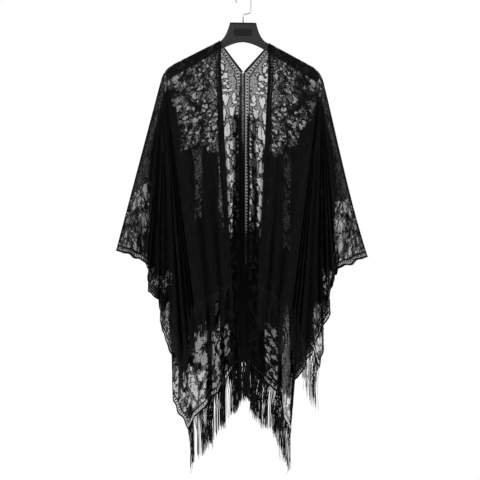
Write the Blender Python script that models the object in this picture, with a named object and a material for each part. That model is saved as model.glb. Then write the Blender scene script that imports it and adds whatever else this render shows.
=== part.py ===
import math

import bmesh
import bpy
import numpy as np

# A fringed lace shawl hanging on a clothes hanger. Metres, +Z up, +X to the viewer's right.
# The front of the shawl faces -Y. The origin is the inner top of the hook, where a rail
# carries it.

# The shawl is two equal panels of lace, sewn together down the middle of the back.
PANEL_WIDTH = 0.662  # from the inner edge to the side edge
FRONT_LENGTH = 0.64  # from the shoulder fold to the front hem
BACK_LENGTH = 0.87  # from the shoulder fold to the back hem
FRINGE_LENGTH = 0.115
LACE_WALL = 0.0024
CREASE_EASE = 0.012  # how soon the wall thins where the cloth folds back on itself
SEAM_HALF_WIDTH = 0.002  # the strip that joins the two panels
SEAM_GAP = 0.0003  # between pieces that touch
FRINGE_GAP = 0.0006  # straight down, which is less across a steep hem
SEAM_BELOW_V = 0.004  # from the V's foot to the top of the seam

# The hanger. Its outline is symmetrical, and it hangs a little lower on its right.
HANGER_TILT = math.radians(0.8)
HANGER_HALF_THICKNESS = 0.0055
HANGER_ROUNDING = 0.0046  # round-over of its front and back edges
ROUNDING_STEPS = 3
HEAD_HALF_WIDTH = 0.0347
HEAD_TOP = -0.080
ARM_SLOPE = 0.525  # fall of the arm for each metre out
ARM_LEVEL_X, ARM_LEVEL_Z = 0.100, -0.1494  # a point on the line where the cloth lies
ARM_END_X = 0.208  # where the cloth leaves the arm
ARM_UNDER_CLOTH = 0.0021  # from the middle of the cloth's wall down to the arm's top
HEAD_WAIST_X, HEAD_FLARE_X = 0.0445, 0.0625  # the head's side curves in and meets the arm
TIP_START_X, TIP_PULL_X, TIP_SHOULDER = 0.170, 0.1965, (0.2030, -0.2225)
TIP_CORNER, TIP_RADIUS = (0.2036, -0.2395), 0.0068
ARCH_START, ARCH_PULL = (0.060, -0.1535), (0.023, -0.1325)
PLATE_SIZE = (0.048, 0.0008, 0.0185)
PLATE_CORNER = 0.0025
PLATE_Z = -0.1058

# The hook's wire
HOOK_RADIUS = 0.0199  # centreline of the round top
WIRE_RADIUS = 0.0016
HOOK_JOG_TOP, HOOK_JOG_FOOT = -0.0545, -0.0590
HOOK_END_ANGLE = 212  # degrees round from the side the wire rises on
HOOK_STEP_ANGLE = 10
WIRE_BEND = 0.006  # radius of the wire's two bends under the round top

# The cloth's fold over the arm, as the radius of its wall's middle
FOLD_RADIUS_ARM, FOLD_RADIUS_TIP = 0.0085, 0.0045
CORNER_CUT = 0.030  # how far each way the cloth rounds the arm's end
CORNER_FADE = 0.05  # how far down that rounding shows
SLOPE_FADE = 0.03  # how far down the slope of the arm sets the fold aslant
APEX_SMOOTH = 0.30  # the folds are full this far from the arm's end
DRAW_START, DRAW_FULL = 0.30, 0.90  # where the corner's fine folds start and are full
BOW_ARC = 14  # degrees of the fan that the fold to the tip bows with it
BOW_PEAK = 6.75  # makes the bow's curve reach 1 where it is widest
V_WIDENS = 2.5  # how much further down the V's pull reaches at the arm's end
INNER_POWER = 1.5  # how soon the inner edge's own height gives way outwards
FOLD_SOFTNESS = 0.20  # rounding of each fold's crest, as a share of a fold's width

# Past the arm's end each layer hangs as a fan from there. A row is one crest or hollow:
# arc is the angle on the flat cloth round the arm's end, from the shoulder fold at 0 to
# the cloth that hangs from the arm at 90, and visual the angle that it hangs at, in towards
# the middle. What the arc has over the change of visual angle goes into the fold's depth.
FAN = {
    # arc, visual
    "left_front": (
        (0, -14.8), (4, -12.4), (9, -8.8), (13, -6.4), (17, -4.8), (21, -4.1), (26, -4.2),
        (31, -3.9), (35, -1.4), (39, -0.7), (43, -0.6), (47, 0.9), (51.5, 3.2), (56, 3.8),
        (61, 4.6), (66, 5.6), (71, 5.8), (76, 6.6), (81, 6.8), (85.5, 7.4), (90, 7.6),
    ),
    "left_back": (
        (0, -14.8), (4, -12.6), (8, -9.8), (13, -6.6), (17, -4.9), (22, -4.1), (27, -4.3),
        (32, -4.2), (37, -0.8), (41, -0.6), (45, -0.6), (50, 1.8), (54, 1.4), (57, 1.5),
        (59.8, 3.7), (64, 5.0), (69, 6.6), (74, 8.3), (78, 9.3), (82, 10.0), (86, 10.5),
        (90, 10.9),
    ),
    "right_front": (
        (0, -14.2), (5, -11.8), (9, -9.2), (14.5, -5.0), (19, -4.0), (24, -3.3), (28, -2.6),
        (32.5, -1.5), (37.5, -2.2), (40, -1.6), (43, 0.2), (47.5, -0.4), (51.5, 0.6),
        (56, 1.7), (58.6, 2.9), (61.5, 4.5), (66, 5.0), (71, 5.5), (76, 6.0), (81, 6.4),
        (85.5, 6.9), (90, 7.4),
    ),
    "right_back": (
        (0, -14.2), (5, -11.6), (9, -9.0), (14.5, -5.2), (19, -4.2), (24, -3.4),
        (28.5, -2.8), (33, -1.6), (37, -1.8), (41, -0.6), (45, 0.9), (48, 1.8), (51, 3.6),
        (53, 5.2), (56, 4.9), (59, 4.6), (62, 5.3), (65, 5.9), (69, 6.2), (74, 6.5), (79, 6.7),
        (83, 7.0), (86.5, 7.5), (90, 7.9),
    ),
}
FAN_NEAR, FAN_FAR = 0.6, 6.8  # degrees of depth that the fan's folds run between

# Below the arm each layer hangs in upright folds. A row is one crest or hollow at the hem:
# share is how far along the arm the cloth lies, from its end at 1 to the inner edge at 0,
# and hem where that row lies at the hem, as a share of the way from the inner edge.
HANG = {
    # share, hem
    "left_front": (
        (1.0, 1.0), (0.84, 0.78), (0.68, 0.68), (0.50, 0.45), (0.33, 0.33), (0.15, 0.10),
        (0.0, 0.0),
    ),
    "left_back": (
        (1.0, 1.0), (0.83, 0.82), (0.66, 0.64), (0.49, 0.50), (0.34, 0.34), (0.20, 0.23),
        (0.08, 0.20), (0.0, 0.0),
    ),
    "right_front": (
        (1.0, 1.0), (0.85, 0.82), (0.67, 0.66), (0.52, 0.48), (0.34, 0.36), (0.18, 0.14),
        (0.0, 0.0),
    ),
    "right_back": (
        (1.0, 1.0), (0.84, 0.80), (0.68, 0.66), (0.50, 0.48), (0.34, 0.34), (0.20, 0.20),
        (0.08, 0.15), (0.0, 0.0),
    ),
}

# A row for each panel: which way is out, where its inner edge lies on the arm, where that
# edge reaches at the front hem, how far down the cloth the V's foot lies, how far the fold
# from the arm's end to the tip bows in, and how far the back hem under the arm lifts over
# the straight.
PANELS = {
    # side, neck, front_hem, v_depth, bow, back_lift
    "left": (-1, 0.0617, 0.0320, 0.088, 0.0, 0.018),
    "right": (1, 0.0707, 0.0400, 0.081, 0.005, 0.005),
}
# A row for each layer: how far it leans out for each metre down, how much of its length
# shows down its corner, how soon that fades towards the arm, how far out the inner edge lies
# at the hem, and that edge's height
LAYERS = {
    # length, lean, corner_draw, draw_fade, inner_depth, inner_height
    "front": (FRONT_LENGTH, 0.050, 0.955, 1, 0.022, None),
    "back": (BACK_LENGTH, 0.030, 0.968, 3, 0.016, -0.9850),
}

# Mesh steps down a layer, as shares of the way from the shoulder fold to the edge
STEPS = {
    "front": (0.06, 0.16, 0.31, 0.48, 0.66, 0.83, 1.0),
    "back": (0.15, 0.27, 0.41, 0.56, 0.71, 0.86, 1.0),
}
ARM_END_SHARE = 0.925  # an extra column where the shoulder starts to round
CLEAR_OF_CORNER = 1.3  # degrees between the corner's column and the next
FOLD_CELLS = 3  # over each half of the shoulder fold


def tilted(x, z):
    # Turns a point of the symmetrical hanger to the way that it hangs
    turn, rise = math.cos(HANGER_TILT), math.sin(HANGER_TILT)
    return x * turn + z * rise, z * turn - x * rise


def armTop(x):
    # Height of the cloth over the arm at a distance x from the middle
    return ARM_LEVEL_Z - ARM_SLOPE * (x - ARM_LEVEL_X)


def softened(values, width):
    # A running average that keeps the ends in place
    reach = max(1, int(round(width)))
    kernel = np.hanning(2 * reach + 3)[1:-1]
    kernel /= kernel.sum()
    start = 2 * values[0] - values[reach:0:-1]
    end = 2 * values[-1] - values[-2 : -reach - 2 : -1]
    return np.convolve(np.concatenate([start, values, end]), kernel, "valid")


def foldDepths(step, move, near, far):
    # The cloth runs away and back by turns, and turns early where it would pass near or far
    depth, way, depths = 0.0, 1, [0.0]
    middle = (near + far) / 2
    for run in np.sqrt(np.maximum(step**2 - move**2, 0)):
        inside = near <= depth + way * run <= far
        if not inside and abs(depth - way * run - middle) < abs(depth + way * run - middle):
            way = -way
        depth += way * run
        depths.append(depth)
        way = -way
    return np.array(depths)


def foldCurve(along, across, near, far, samples=720):
    # Runs a thread of given length through crests and hollows. Between two rows the thread
    # goes across by what the table says, and away or back by the rest of its length.
    depth = foldDepths(np.diff(along), np.diff(across), near, far)
    places = np.linspace(along[0], along[-1], samples + 1)
    width = FOLD_SOFTNESS * samples / (len(along) - 1)
    x = softened(np.interp(places, along, across), width)
    y = softened(np.interp(places, along, depth), width)
    run = np.concatenate([[0], np.cumsum(np.hypot(np.diff(x), np.diff(y)))])
    run = along[0] + run / run[-1] * (along[-1] - along[0])

    def at(place):
        return np.interp(place, run, x), np.interp(place, run, y)

    return at


def layerShape(side, layer):
    # Works out one quarter of the shawl: the thread curves of its fan and of its hem
    key = f"{side}_{layer}"
    out, neck, frontHem, vDepth, bow, backLift = PANELS[side]
    length, lean, cornerDraw, drawFade, innerDepth, innerHeight = LAYERS[layer]
    fall = length - FOLD_RADIUS_ARM * math.pi / 2
    arc, visual = np.array(FAN[key], float).T
    fan = foldCurve(arc, visual, FAN_NEAR, FAN_FAR)
    armLength = (ARM_END_X - neck) * math.hypot(1, ARM_SLOPE)
    endX, endZ = tilted(out * ARM_END_X, armTop(ARM_END_X))
    lastVisual, lastDepth = (math.radians(float(c)) for c in fan(90.0))
    lastX = abs(endX) - fall * math.cos(lastDepth) * math.sin(lastVisual)
    innerX = frontHem if layer == "front" else SEAM_HALF_WIDTH + SEAM_GAP
    share, hem = np.array(HANG[key], float).T
    deepest = armLength / len(share)
    hemCurve = foldCurve(
        (1 - share) * armLength, (1 - hem) * (lastX - innerX), -deepest, deepest
    )
    return {
        "out": out,
        "way": -1 if layer == "front" else 1,
        "layer": layer,
        "neck": neck,
        "length": length,
        "fall": fall,
        "hemLift": backLift if layer == "back" else 0.0,
        "armLength": armLength,
        "side": PANEL_WIDTH - armLength,
        "corner": math.degrees(
            math.atan2(length - FOLD_RADIUS_TIP * math.pi / 2, PANEL_WIDTH - armLength)
        ),
        "cornerDraw": cornerDraw,
        "drawFade": drawFade,
        "end": (endX, endZ),
        "arcs": arc,
        "shares": share,
        "fan": fan,
        "hemCurve": hemCurve,
        "lastX": lastX,
        "lastDepth": fall * math.sin(lastDepth),
        "innerX": innerX,
        "innerDepth": innerDepth,
        "innerHeight": innerHeight,
        "lean": lean,
        "vDepth": vDepth,
        "bow": bow,
    }


def foldRadius(shape, u):
    # The fold over the arm is as wide as the arm, and narrows towards the tip
    past = np.clip((u - shape["armLength"]) / (PANEL_WIDTH - shape["armLength"]), 0, 1)
    return FOLD_RADIUS_ARM + (FOLD_RADIUS_TIP - FOLD_RADIUS_ARM) * past


def shoulderLine(shape, u):
    # The top of the fold, down the arm and on to the tip, with the corner rounded
    endX, endZ = shape["end"]
    startX, startZ = tilted(shape["out"] * shape["neck"], armTop(shape["neck"]))
    angle = math.radians(float(shape["fan"](0.0)[0]))
    downX, downZ = -shape["out"] * math.sin(angle), -math.cos(angle)
    armX = (endX - startX) / shape["armLength"]
    armZ = (endZ - startZ) / shape["armLength"]
    past = u - shape["armLength"]
    sharpX = endX + np.where(past < 0, past * armX, past * downX)
    sharpZ = endZ + np.where(past < 0, past * armZ, past * downZ)
    t = np.clip((past + CORNER_CUT) / (2 * CORNER_CUT), 0, 1)
    near = np.abs(past) < CORNER_CUT
    roundX = endX - CORNER_CUT * armX * (1 - t) ** 2 + CORNER_CUT * downX * t**2
    roundZ = endZ - CORNER_CUT * armZ * (1 - t) ** 2 + CORNER_CUT * downZ * t**2
    x, z = np.where(near, roundX, sharpX), np.where(near, roundZ, sharpZ)
    turn = t * t * (3 - 2 * t)
    alongX, alongZ = armX * (1 - turn) + downX * turn, armZ * (1 - turn) + downZ * turn
    size = np.hypot(alongX, alongZ)
    outX, outZ = -shape["out"] * alongZ / size, shape["out"] * alongX / size
    return x, z, outX, outZ, sharpX, sharpZ


def fanPoint(shape, past, below):
    # The cloth past the arm's end: the distance from there times a direction
    endX, endZ = shape["end"]
    reach = np.hypot(past, below)
    arc = np.degrees(np.arctan2(below, past))
    visual, depth = shape["fan"](arc)
    fullness = np.clip(reach / APEX_SMOOTH, 0, 1)
    depth = np.radians(depth * fullness * fullness * (3 - 2 * fullness))
    visual = np.radians(visual)
    # Down towards the corner the finest folds take up some of the length
    corner = shape["corner"]
    above = np.clip((90 - arc) / (90 - corner), 0, 1) ** shape["drawFade"]
    nearCorner = np.where(arc < corner, (arc / corner) ** 2, above)
    full = np.clip((reach - DRAW_START) / (DRAW_FULL - DRAW_START), 0, 1)
    drawn = 1 - (1 - shape["cornerDraw"]) * nearCorner * full
    across = reach * drawn * np.cos(depth) * np.sin(visual)
    along = past / shape["side"]
    bow = shape["bow"] * BOW_PEAK * along**2 * (1 - along) * np.exp(-((arc / BOW_ARC) ** 2))
    x = endX - shape["out"] * (across + bow)
    z = endZ - reach * drawn * np.cos(depth) * np.cos(visual)
    return x, reach * drawn * np.sin(depth), z


def hangPoint(shape, u, v, below, share, topX, topZ):
    # The cloth under the arm: straight threads from the arm to the hem's curve
    armLength = shape["armLength"]
    inner = np.clip(1 - u / armLength, 0, 1)
    across, hemDepth = shape["hemCurve"](inner * armLength)
    endDepth = float(shape["hemCurve"](armLength)[1])
    hemX = shape["lastX"] - across
    hemY = shape["lastDepth"] + hemDepth
    hemY += (shape["innerDepth"] - shape["lastDepth"] - endDepth) * inner
    bodyX = np.abs(topX)
    if shape["layer"] == "back":
        # Below the V the back reaches in to the seam
        spread = (abs(shape["end"][0]) - shape["innerX"]) / armLength
        seamX = shape["innerX"] + spread * np.minimum(u, armLength)
        foot = (shape["vDepth"] - v + below) * (1 + V_WIDENS * u / armLength)
        near = np.clip(1 - below / foot, 0, 1)
        bodyX = seamX + (bodyX - seamX) * near
    drop = np.sqrt(shape["fall"] ** 2 - (hemX - np.abs(topX)) ** 2 - hemY**2)
    drop -= shape["hemLift"] * 4 * inner * (1 - inner)
    if shape["innerHeight"] is not None:
        innerTop = tilted(shape["out"] * shape["neck"], armTop(shape["neck"]))[1]
        innerDrop = innerTop - FOLD_RADIUS_ARM - shape["innerHeight"]
        drop += (innerDrop - shape["fall"]) * inner**INNER_POWER
    x = shape["out"] * (bodyX + (hemX - bodyX) * share)
    return x, hemY * share, topZ - share * drop


def drape(shape, u, v):
    # A point of the wall's middle. u runs from the inner edge to the side edge and v from
    # the shoulder fold to the hem, both along the cloth.
    way, length = shape["way"], shape["length"]
    topX, topZ, normalX, normalZ, sharpX, sharpZ = shoulderLine(shape, u)
    radius = foldRadius(shape, u)
    turn = np.minimum(v / radius, math.pi / 2)
    below = np.maximum(v - radius * math.pi / 2, 0)
    share = below / (length - radius * math.pi / 2)
    past = np.maximum(u - shape["armLength"], 0)
    fan = fanPoint(shape, past, below)
    hang = hangPoint(shape, u, v, below, share, sharpX, sharpZ)
    x, y, z = (np.where(u < shape["armLength"], h, f) for h, f in zip(hang, fan))
    rounding = np.exp(-((below / CORNER_FADE) ** 2))
    drop = radius * (1 - np.cos(turn))
    aslant = np.exp(-((below / SLOPE_FADE) ** 2))
    x = x - normalX * drop * aslant + (topX - sharpX) * rounding
    y = way * (y + radius * np.sin(turn) + shape["lean"] * below)
    z = z - normalZ * drop + (topZ - sharpZ) * rounding
    return np.stack([x, y, z], -1)


def layerMesh(shape):
    # A layer's points: one column down each crest and hollow. The columns of the fan all
    # start at the arm's end. Gives places u and v, a row for each step down.
    steps = (0.0, *STEPS[shape["layer"]])
    if shape["layer"] == "back":
        # The V needs a step at its foot and one on the way there
        arc = FOLD_RADIUS_ARM * math.pi / 2
        foot = (shape["vDepth"] - arc) / (shape["length"] - arc)
        steps = (0.0, foot / 2, foot, *steps[1:])
    shares = np.union1d(shape["shares"], [ARM_END_SHARE])
    hangU = shares * shape["armLength"]
    edge = foldRadius(shape, hangU) * math.pi / 2
    u = [np.broadcast_to(hangU, (len(steps), len(hangU)))]
    v = [edge + (shape["length"] - edge) * np.array(steps)[:, None]]
    clear = shape["arcs"][np.abs(shape["arcs"] - shape["corner"]) > CLEAR_OF_CORNER]
    arcs = np.union1d(clear, [shape["corner"]])[-2::-1]
    slope = np.radians(arcs)
    full = shape["side"] / np.maximum(np.cos(slope), 1e-9)
    for _ in range(4):
        edge = foldRadius(shape, shape["armLength"] + full * np.cos(slope)) * math.pi / 2
        toHem = (shape["length"] - edge) / np.maximum(np.sin(slope), 1e-9)
        full = np.where(arcs > shape["corner"] - 1e-6, toHem, full)
    reach = full * np.array(steps)[:, None]
    fanU = shape["armLength"] + reach * np.cos(slope)
    u.append(fanU)
    v.append(reach * np.sin(slope) + foldRadius(shape, fanU) * math.pi / 2)
    return np.concatenate(u, 1), np.concatenate(v, 1), len(hangU) - 1


def panelSurface(side):
    # The wall's middle as points and faces: front and back, and the strip round the fold.
    # Also the numbers of the points along each hem.
    points, faces, hems, tops = [], [], {}, {}
    for layer in LAYERS:
        shape = layerShape(side, layer)
        u, v, last = layerMesh(shape)
        rows, columns = u.shape
        number = np.arange(u.size).reshape(u.shape) + sum(len(p) for p in points)
        number[0, last:] = number[0, last]
        points.append(drape(shape, u, v).reshape(-1, 3))
        hemColumns = int(np.argmax(u[-1] > PANEL_WIDTH - 1e-6)) + 1
        hems[layer] = number[-1, :hemColumns]
        tops[layer] = np.concatenate([number[0, : last + 1], number[1:, -1]])
        for i in range(rows - 1):
            for j in range(columns - 1):
                a, b, c, d = number[i, j], number[i, j + 1], number[i + 1, j + 1], number[i + 1, j]
                corners = [a, b, c, d] if a != b else [a, c, d]
                faces.append(corners if layer == "front" else corners[::-1])
        if layer == "back":
            continue
        # The strip round the shoulder fold, and its first column on this layer
        topU = np.concatenate([u[0, : last + 1], u[1:, -1]])
        strip = [tops["front"]]
    turns = np.linspace(-1, 1, 2 * FOLD_CELLS + 1)[1:-1]
    for turn in turns:
        shape = layerShape(side, "front" if turn < 0 else "back")
        edge = foldRadius(shape, topU) * math.pi / 2
        start = sum(len(p) for p in points)
        points.append(drape(shape, topU, edge * abs(turn)))
        strip.append(np.arange(len(topU)) + start)
    strip.append(tops["back"])
    for upper, lower in zip(strip, strip[1:]):
        for j in range(len(topU) - 1):
            faces.append([upper[j], lower[j], lower[j + 1], upper[j + 1]])
    return np.concatenate(points), faces, hems


def triangles(points, faces):
    # Cuts each four-sided face along its shorter way across
    found = []
    for face in faces:
        if len(face) == 3:
            found.append(face)
            continue
        a, b, c, d = face
        if np.linalg.norm(points[a] - points[c]) <= np.linalg.norm(points[b] - points[d]):
            found += [[a, b, c], [a, c, d]]
        else:
            found += [[a, b, d], [b, c, d]]
    return np.array(found)


def wallOffsets(points, faces, thickness):
    # Half the wall at each point: the offset that comes nearest to standing half the wall
    # off every face there, and stays short where the faces fold back on each other
    corners = points[faces]
    normal = np.cross(corners[:, 1] - corners[:, 0], corners[:, 2] - corners[:, 0])
    normal /= np.maximum(np.linalg.norm(normal, axis=1, keepdims=True), 1e-12)
    square = normal[:, :, None] * normal[:, None, :]
    total, weight = np.zeros_like(points), np.zeros(len(points))
    spread = np.zeros((len(points), 3, 3))
    for k in range(3):
        one = corners[:, (k + 1) % 3] - corners[:, k]
        other = corners[:, (k + 2) % 3] - corners[:, k]
        cosine = (one * other).sum(1) / np.linalg.norm(one, axis=1) / np.linalg.norm(other, axis=1)
        angle = np.arccos(np.clip(cosine, -1, 1))
        np.add.at(total, faces[:, k], normal * angle[:, None])
        np.add.at(spread, faces[:, k], square * angle[:, None, None])
        np.add.at(weight, faces[:, k], angle)
    weight = np.maximum(weight, 1e-12)
    spread = spread / weight[:, None, None] + CREASE_EASE * np.eye(3)
    way = np.linalg.solve(spread, (total / weight[:, None])[:, :, None])[:, :, 0]
    return way * thickness / 2 * (1 + CREASE_EASE)


def wallMesh(points, faces, offsets):
    # Two skins, one each way from the middle, closed round the rim
    used = np.unique(faces)
    renumber = np.full(len(points), -1)
    renumber[used] = np.arange(len(used))
    faces = renumber[faces]
    count = len(used)
    vertices = np.concatenate([points[used] + offsets[used], points[used] - offsets[used]])
    edges = np.concatenate([faces[:, [0, 1]], faces[:, [1, 2]], faces[:, [2, 0]]])
    known = {tuple(e) for e in edges.tolist()}
    rim = np.array([e for e in edges.tolist() if (e[1], e[0]) not in known])
    a, b = rim[:, 0], rim[:, 1]
    # The rim's squares are cut alike on both of the pieces that meet along it
    leftward = (vertices[a, 0] > vertices[b, 0])[:, None]
    upper = np.where(leftward, np.stack([a, a + count, b], 1), np.stack([a, a + count, b + count], 1))
    lower = np.where(leftward, np.stack([a + count, b + count, b], 1), np.stack([a, b + count, b], 1))
    return vertices, np.concatenate([faces, faces[:, ::-1] + count, upper, lower])


def makeMaterial(name, colour, roughness, metallic=0.0):
    material = bpy.data.materials.new(name)
    material.use_nodes = True
    shader = material.node_tree.nodes["Principled BSDF"]
    shader.inputs["Base Color"].default_value = (*colour, 1)
    shader.inputs["Roughness"].default_value = roughness
    shader.inputs["Metallic"].default_value = metallic
    return material


def makeObject(name, vertices, faces, material, smooth=True):
    mesh = bpy.data.meshes.new(name)
    mesh.from_pydata(np.asarray(vertices).tolist(), [], [list(map(int, f)) for f in faces])
    mesh.validate()
    solid = bmesh.new()
    solid.from_mesh(mesh)
    bmesh.ops.recalc_face_normals(solid, faces=solid.faces)
    if solid.calc_volume(signed=True) < 0:
        bmesh.ops.reverse_faces(solid, faces=solid.faces)
    solid.to_mesh(mesh)
    solid.free()
    if smooth:
        mesh.shade_smooth()
        mesh.set_sharp_from_angle(angle=math.radians(40))
    mesh.materials.append(material)
    made = bpy.data.objects.new(name, mesh)
    bpy.context.collection.objects.link(made)
    return made


def makePanel(side, material):
    # Makes the panel, and gives what its fringes need: each hem's points and offsets
    points, faces, hems = panelSurface(side)
    faces = triangles(points, faces)
    offsets = wallOffsets(points, faces, LACE_WALL)
    makeObject(f"panel_{side}", *wallMesh(points, faces, offsets), material)
    return {layer: (points[hem], offsets[hem]) for layer, hem in hems.items()}


def makeFringe(name, hem, offsets, material):
    # A curtain from the hem straight down
    down = np.array([0, 0, 1.0])
    points = np.concatenate(
        [hem - down * FRINGE_GAP, hem - down * (FRINGE_GAP + FRINGE_LENGTH)]
    )
    count = len(hem)
    faces = [[k, k + 1, k + 1 + count, k + count] for k in range(count - 1)]
    faces = triangles(points, faces)
    makeObject(name, *wallMesh(points, faces, np.concatenate([offsets, offsets])), material)


def makeSeam(material):
    # A narrow strip between the two inner edges, from the foot of the V to the hem
    shape = layerShape("left", "back")
    v = np.linspace(shape["vDepth"] + SEAM_BELOW_V, shape["length"], len(STEPS["back"]) + 2)
    edge = drape(shape, np.zeros(len(v)), v)
    half = np.array([SEAM_HALF_WIDTH - SEAM_GAP, 0, 0])
    middle = edge * np.array([0, 1, 1])
    points = np.concatenate([middle - half, middle + half])
    count = len(v)
    faces = [[k, k + count, k + 1 + count, k + 1] for k in range(count - 1)]
    faces = triangles(points, faces)
    offsets = wallOffsets(points, faces, LACE_WALL)
    makeObject("back_seam", *wallMesh(points, faces, offsets), material)


def bezier(start, control, end, steps):
    t = np.linspace(0, 1, steps + 1)[:, None]
    start, control, end = (np.array(p) for p in (start, control, end))
    return start * (1 - t) ** 2 + 2 * control * t * (1 - t) + end * t**2


def arcCorner(before, corner, after, radius, steps):
    # Points round a corner, on the circle that touches both of its sides
    before, corner, after = (np.array(p) for p in (before, corner, after))
    back = (before - corner) / np.linalg.norm(before - corner)
    ahead = (after - corner) / np.linalg.norm(after - corner)
    half = math.acos(back @ ahead) / 2
    middle = (back + ahead) / np.linalg.norm(back + ahead)
    centre = corner + middle * radius / math.sin(half)
    start = corner + back * radius / math.tan(half) - centre
    end = corner + ahead * radius / math.tan(half) - centre
    sweep = math.pi - 2 * half
    t = np.linspace(0, 1, steps + 1)[:, None]
    return centre + (start * np.sin((1 - t) * sweep) + end * np.sin(t * sweep)) / math.sin(sweep)


def hangerOutline():
    # Half of the outline from the middle of the head's top round to the middle of the arch.
    # Each run is a curve from its first point to its last, drawn towards the middle one.
    head = (HEAD_HALF_WIDTH, HEAD_TOP)
    half = [np.array([[0.0, HEAD_TOP], [HEAD_HALF_WIDTH / 2, HEAD_TOP]])]
    half.append(bezier(head, underCloth(HEAD_WAIST_X), underCloth(HEAD_FLARE_X), 7))
    half.append(bezier(underCloth(TIP_START_X), underCloth(TIP_PULL_X), TIP_SHOULDER, 6))
    half.append(arcCorner(TIP_SHOULDER, TIP_CORNER, ARCH_START, TIP_RADIUS, 5))
    half.append(bezier(ARCH_START, ARCH_PULL, (0.0, ARCH_PULL[1]), 8))
    half = np.concatenate(half)
    mirrored = half[1:-1][::-1] * np.array([-1, 1])
    return np.concatenate([half, mirrored])


def underCloth(x):
    # A point of the arm's top
    return x, armTop(x) - ARM_UNDER_CLOTH


def makeHanger(material):
    # Rings of the outline, drawn in towards the front and back faces
    outline = hangerOutline()
    before, after = np.roll(outline, 1, 0), np.roll(outline, -1, 0)
    edgeIn, edgeOut = outline - before, after - outline
    edgeIn /= np.linalg.norm(edgeIn, axis=1, keepdims=True)
    edgeOut /= np.linalg.norm(edgeOut, axis=1, keepdims=True)
    normalIn = np.stack([edgeIn[:, 1], -edgeIn[:, 0]], 1)
    normalOut = np.stack([edgeOut[:, 1], -edgeOut[:, 0]], 1)
    inward = normalIn + normalOut
    inward /= (inward * normalIn).sum(1, keepdims=True)
    angles = np.linspace(math.pi / 2, 0, ROUNDING_STEPS + 1)
    depths = HANGER_HALF_THICKNESS - HANGER_ROUNDING * (1 - np.sin(angles))
    insets = HANGER_ROUNDING * (1 - np.cos(angles))
    profile = [(-d, i) for d, i in zip(depths, insets)]
    profile += [(d, i) for d, i in zip(depths[::-1], insets[::-1])]
    rings = []
    for depth, inset in profile:
        x, z = tilted(*(outline + inward * inset).T)
        rings.append(np.stack([x, np.full(len(x), depth), z], 1))
    count = len(outline)
    vertices = np.concatenate(rings)
    faces = [list(range(count)), [(len(rings) - 1) * count + k for k in range(count)][::-1]]
    for ring in range(len(rings) - 1):
        for k in range(count):
            a, b = ring * count + k, ring * count + (k + 1) % count
            faces.append([a, a + count, b + count, b])
    makeObject("hanger", vertices, faces, material)


def makePlate(material):
    # The small blank plate on the front of the head
    mesh = bpy.data.meshes.new("hanger_plate")
    solid = bmesh.new()
    bmesh.ops.create_cube(solid, size=1)
    bmesh.ops.scale(solid, vec=PLATE_SIZE, verts=solid.verts)
    upright = [e for e in solid.edges if abs(e.verts[0].co.y - e.verts[1].co.y) > 1e-6]
    bmesh.ops.bevel(solid, geom=upright, offset=PLATE_CORNER, segments=3, affect="EDGES")
    solid.to_mesh(mesh)
    solid.free()
    mesh.materials.append(material)
    plate = bpy.data.objects.new("hanger_plate", mesh)
    x, z = tilted(0, PLATE_Z)
    y = -HANGER_HALF_THICKNESS - SEAM_GAP - PLATE_SIZE[1] / 2
    plate.location = (x, y, z)
    plate.rotation_euler = (0, HANGER_TILT, 0)
    bpy.context.collection.objects.link(plate)


def roundedPath(corners, radius, steps):
    # Straight runs in one plane, joined by short curves
    points = [corners[0]]
    for before, corner, after in zip(corners, corners[1:], corners[2:]):
        points += list(arcCorner(before, corner, after, radius, steps))
    return points + [corners[-1]]


def makeHook(material):
    # A bent wire: up from the head, across to the side, and over in a round top
    centreZ = WIRE_RADIUS - HOOK_RADIUS
    stemFoot = HEAD_TOP + SEAM_GAP
    stem = [
        (0.0, stemFoot),
        (0.0, HOOK_JOG_FOOT),
        (HOOK_RADIUS, HOOK_JOG_TOP),
        (HOOK_RADIUS, centreZ),
    ]
    points = roundedPath(stem, WIRE_BEND, 5)
    for angle in np.radians(np.arange(HOOK_STEP_ANGLE, HOOK_END_ANGLE + 1, HOOK_STEP_ANGLE)):
        points.append((HOOK_RADIUS * np.cos(angle), centreZ + HOOK_RADIUS * np.sin(angle)))
    curve = bpy.data.curves.new("hanger_hook", "CURVE")
    curve.dimensions = "3D"
    curve.bevel_depth = WIRE_RADIUS
    curve.bevel_resolution = 3
    curve.use_fill_caps = True
    spline = curve.splines.new("POLY")
    spline.points.add(len(points) - 1)
    for point, (x, z) in zip(spline.points, points):
        tiltX, tiltZ = tilted(x, z)
        point.co = (tiltX, 0, tiltZ, 1)
    curve.materials.append(material)
    bpy.context.collection.objects.link(bpy.data.objects.new("hanger_hook", curve))


def main():
    for old in list(bpy.data.objects):
        bpy.data.objects.remove(old)
    lace = makeMaterial("black_lace", (0.008, 0.008, 0.009), 0.75)
    seam = makeMaterial("seam_stitching", (0.006, 0.006, 0.007), 0.7)
    fringe = makeMaterial("black_fringe", (0.009, 0.009, 0.010), 0.6)
    plastic = makeMaterial("grey_plastic", (0.035, 0.036, 0.038), 0.45)
    plate = makeMaterial("plate_plastic", (0.020, 0.021, 0.023), 0.5)
    steel = makeMaterial("hook_steel", (0.60, 0.60, 0.61), 0.28, 1.0)
    makeHanger(plastic)
    makePlate(plate)
    makeHook(steel)
    for side in PANELS:
        for layer, (hem, offsets) in makePanel(side, lace).items():
            makeFringe(f"fringe_{layer}_{side}", hem, offsets, fringe)
    makeSeam(seam)


main()
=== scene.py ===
import math

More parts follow.
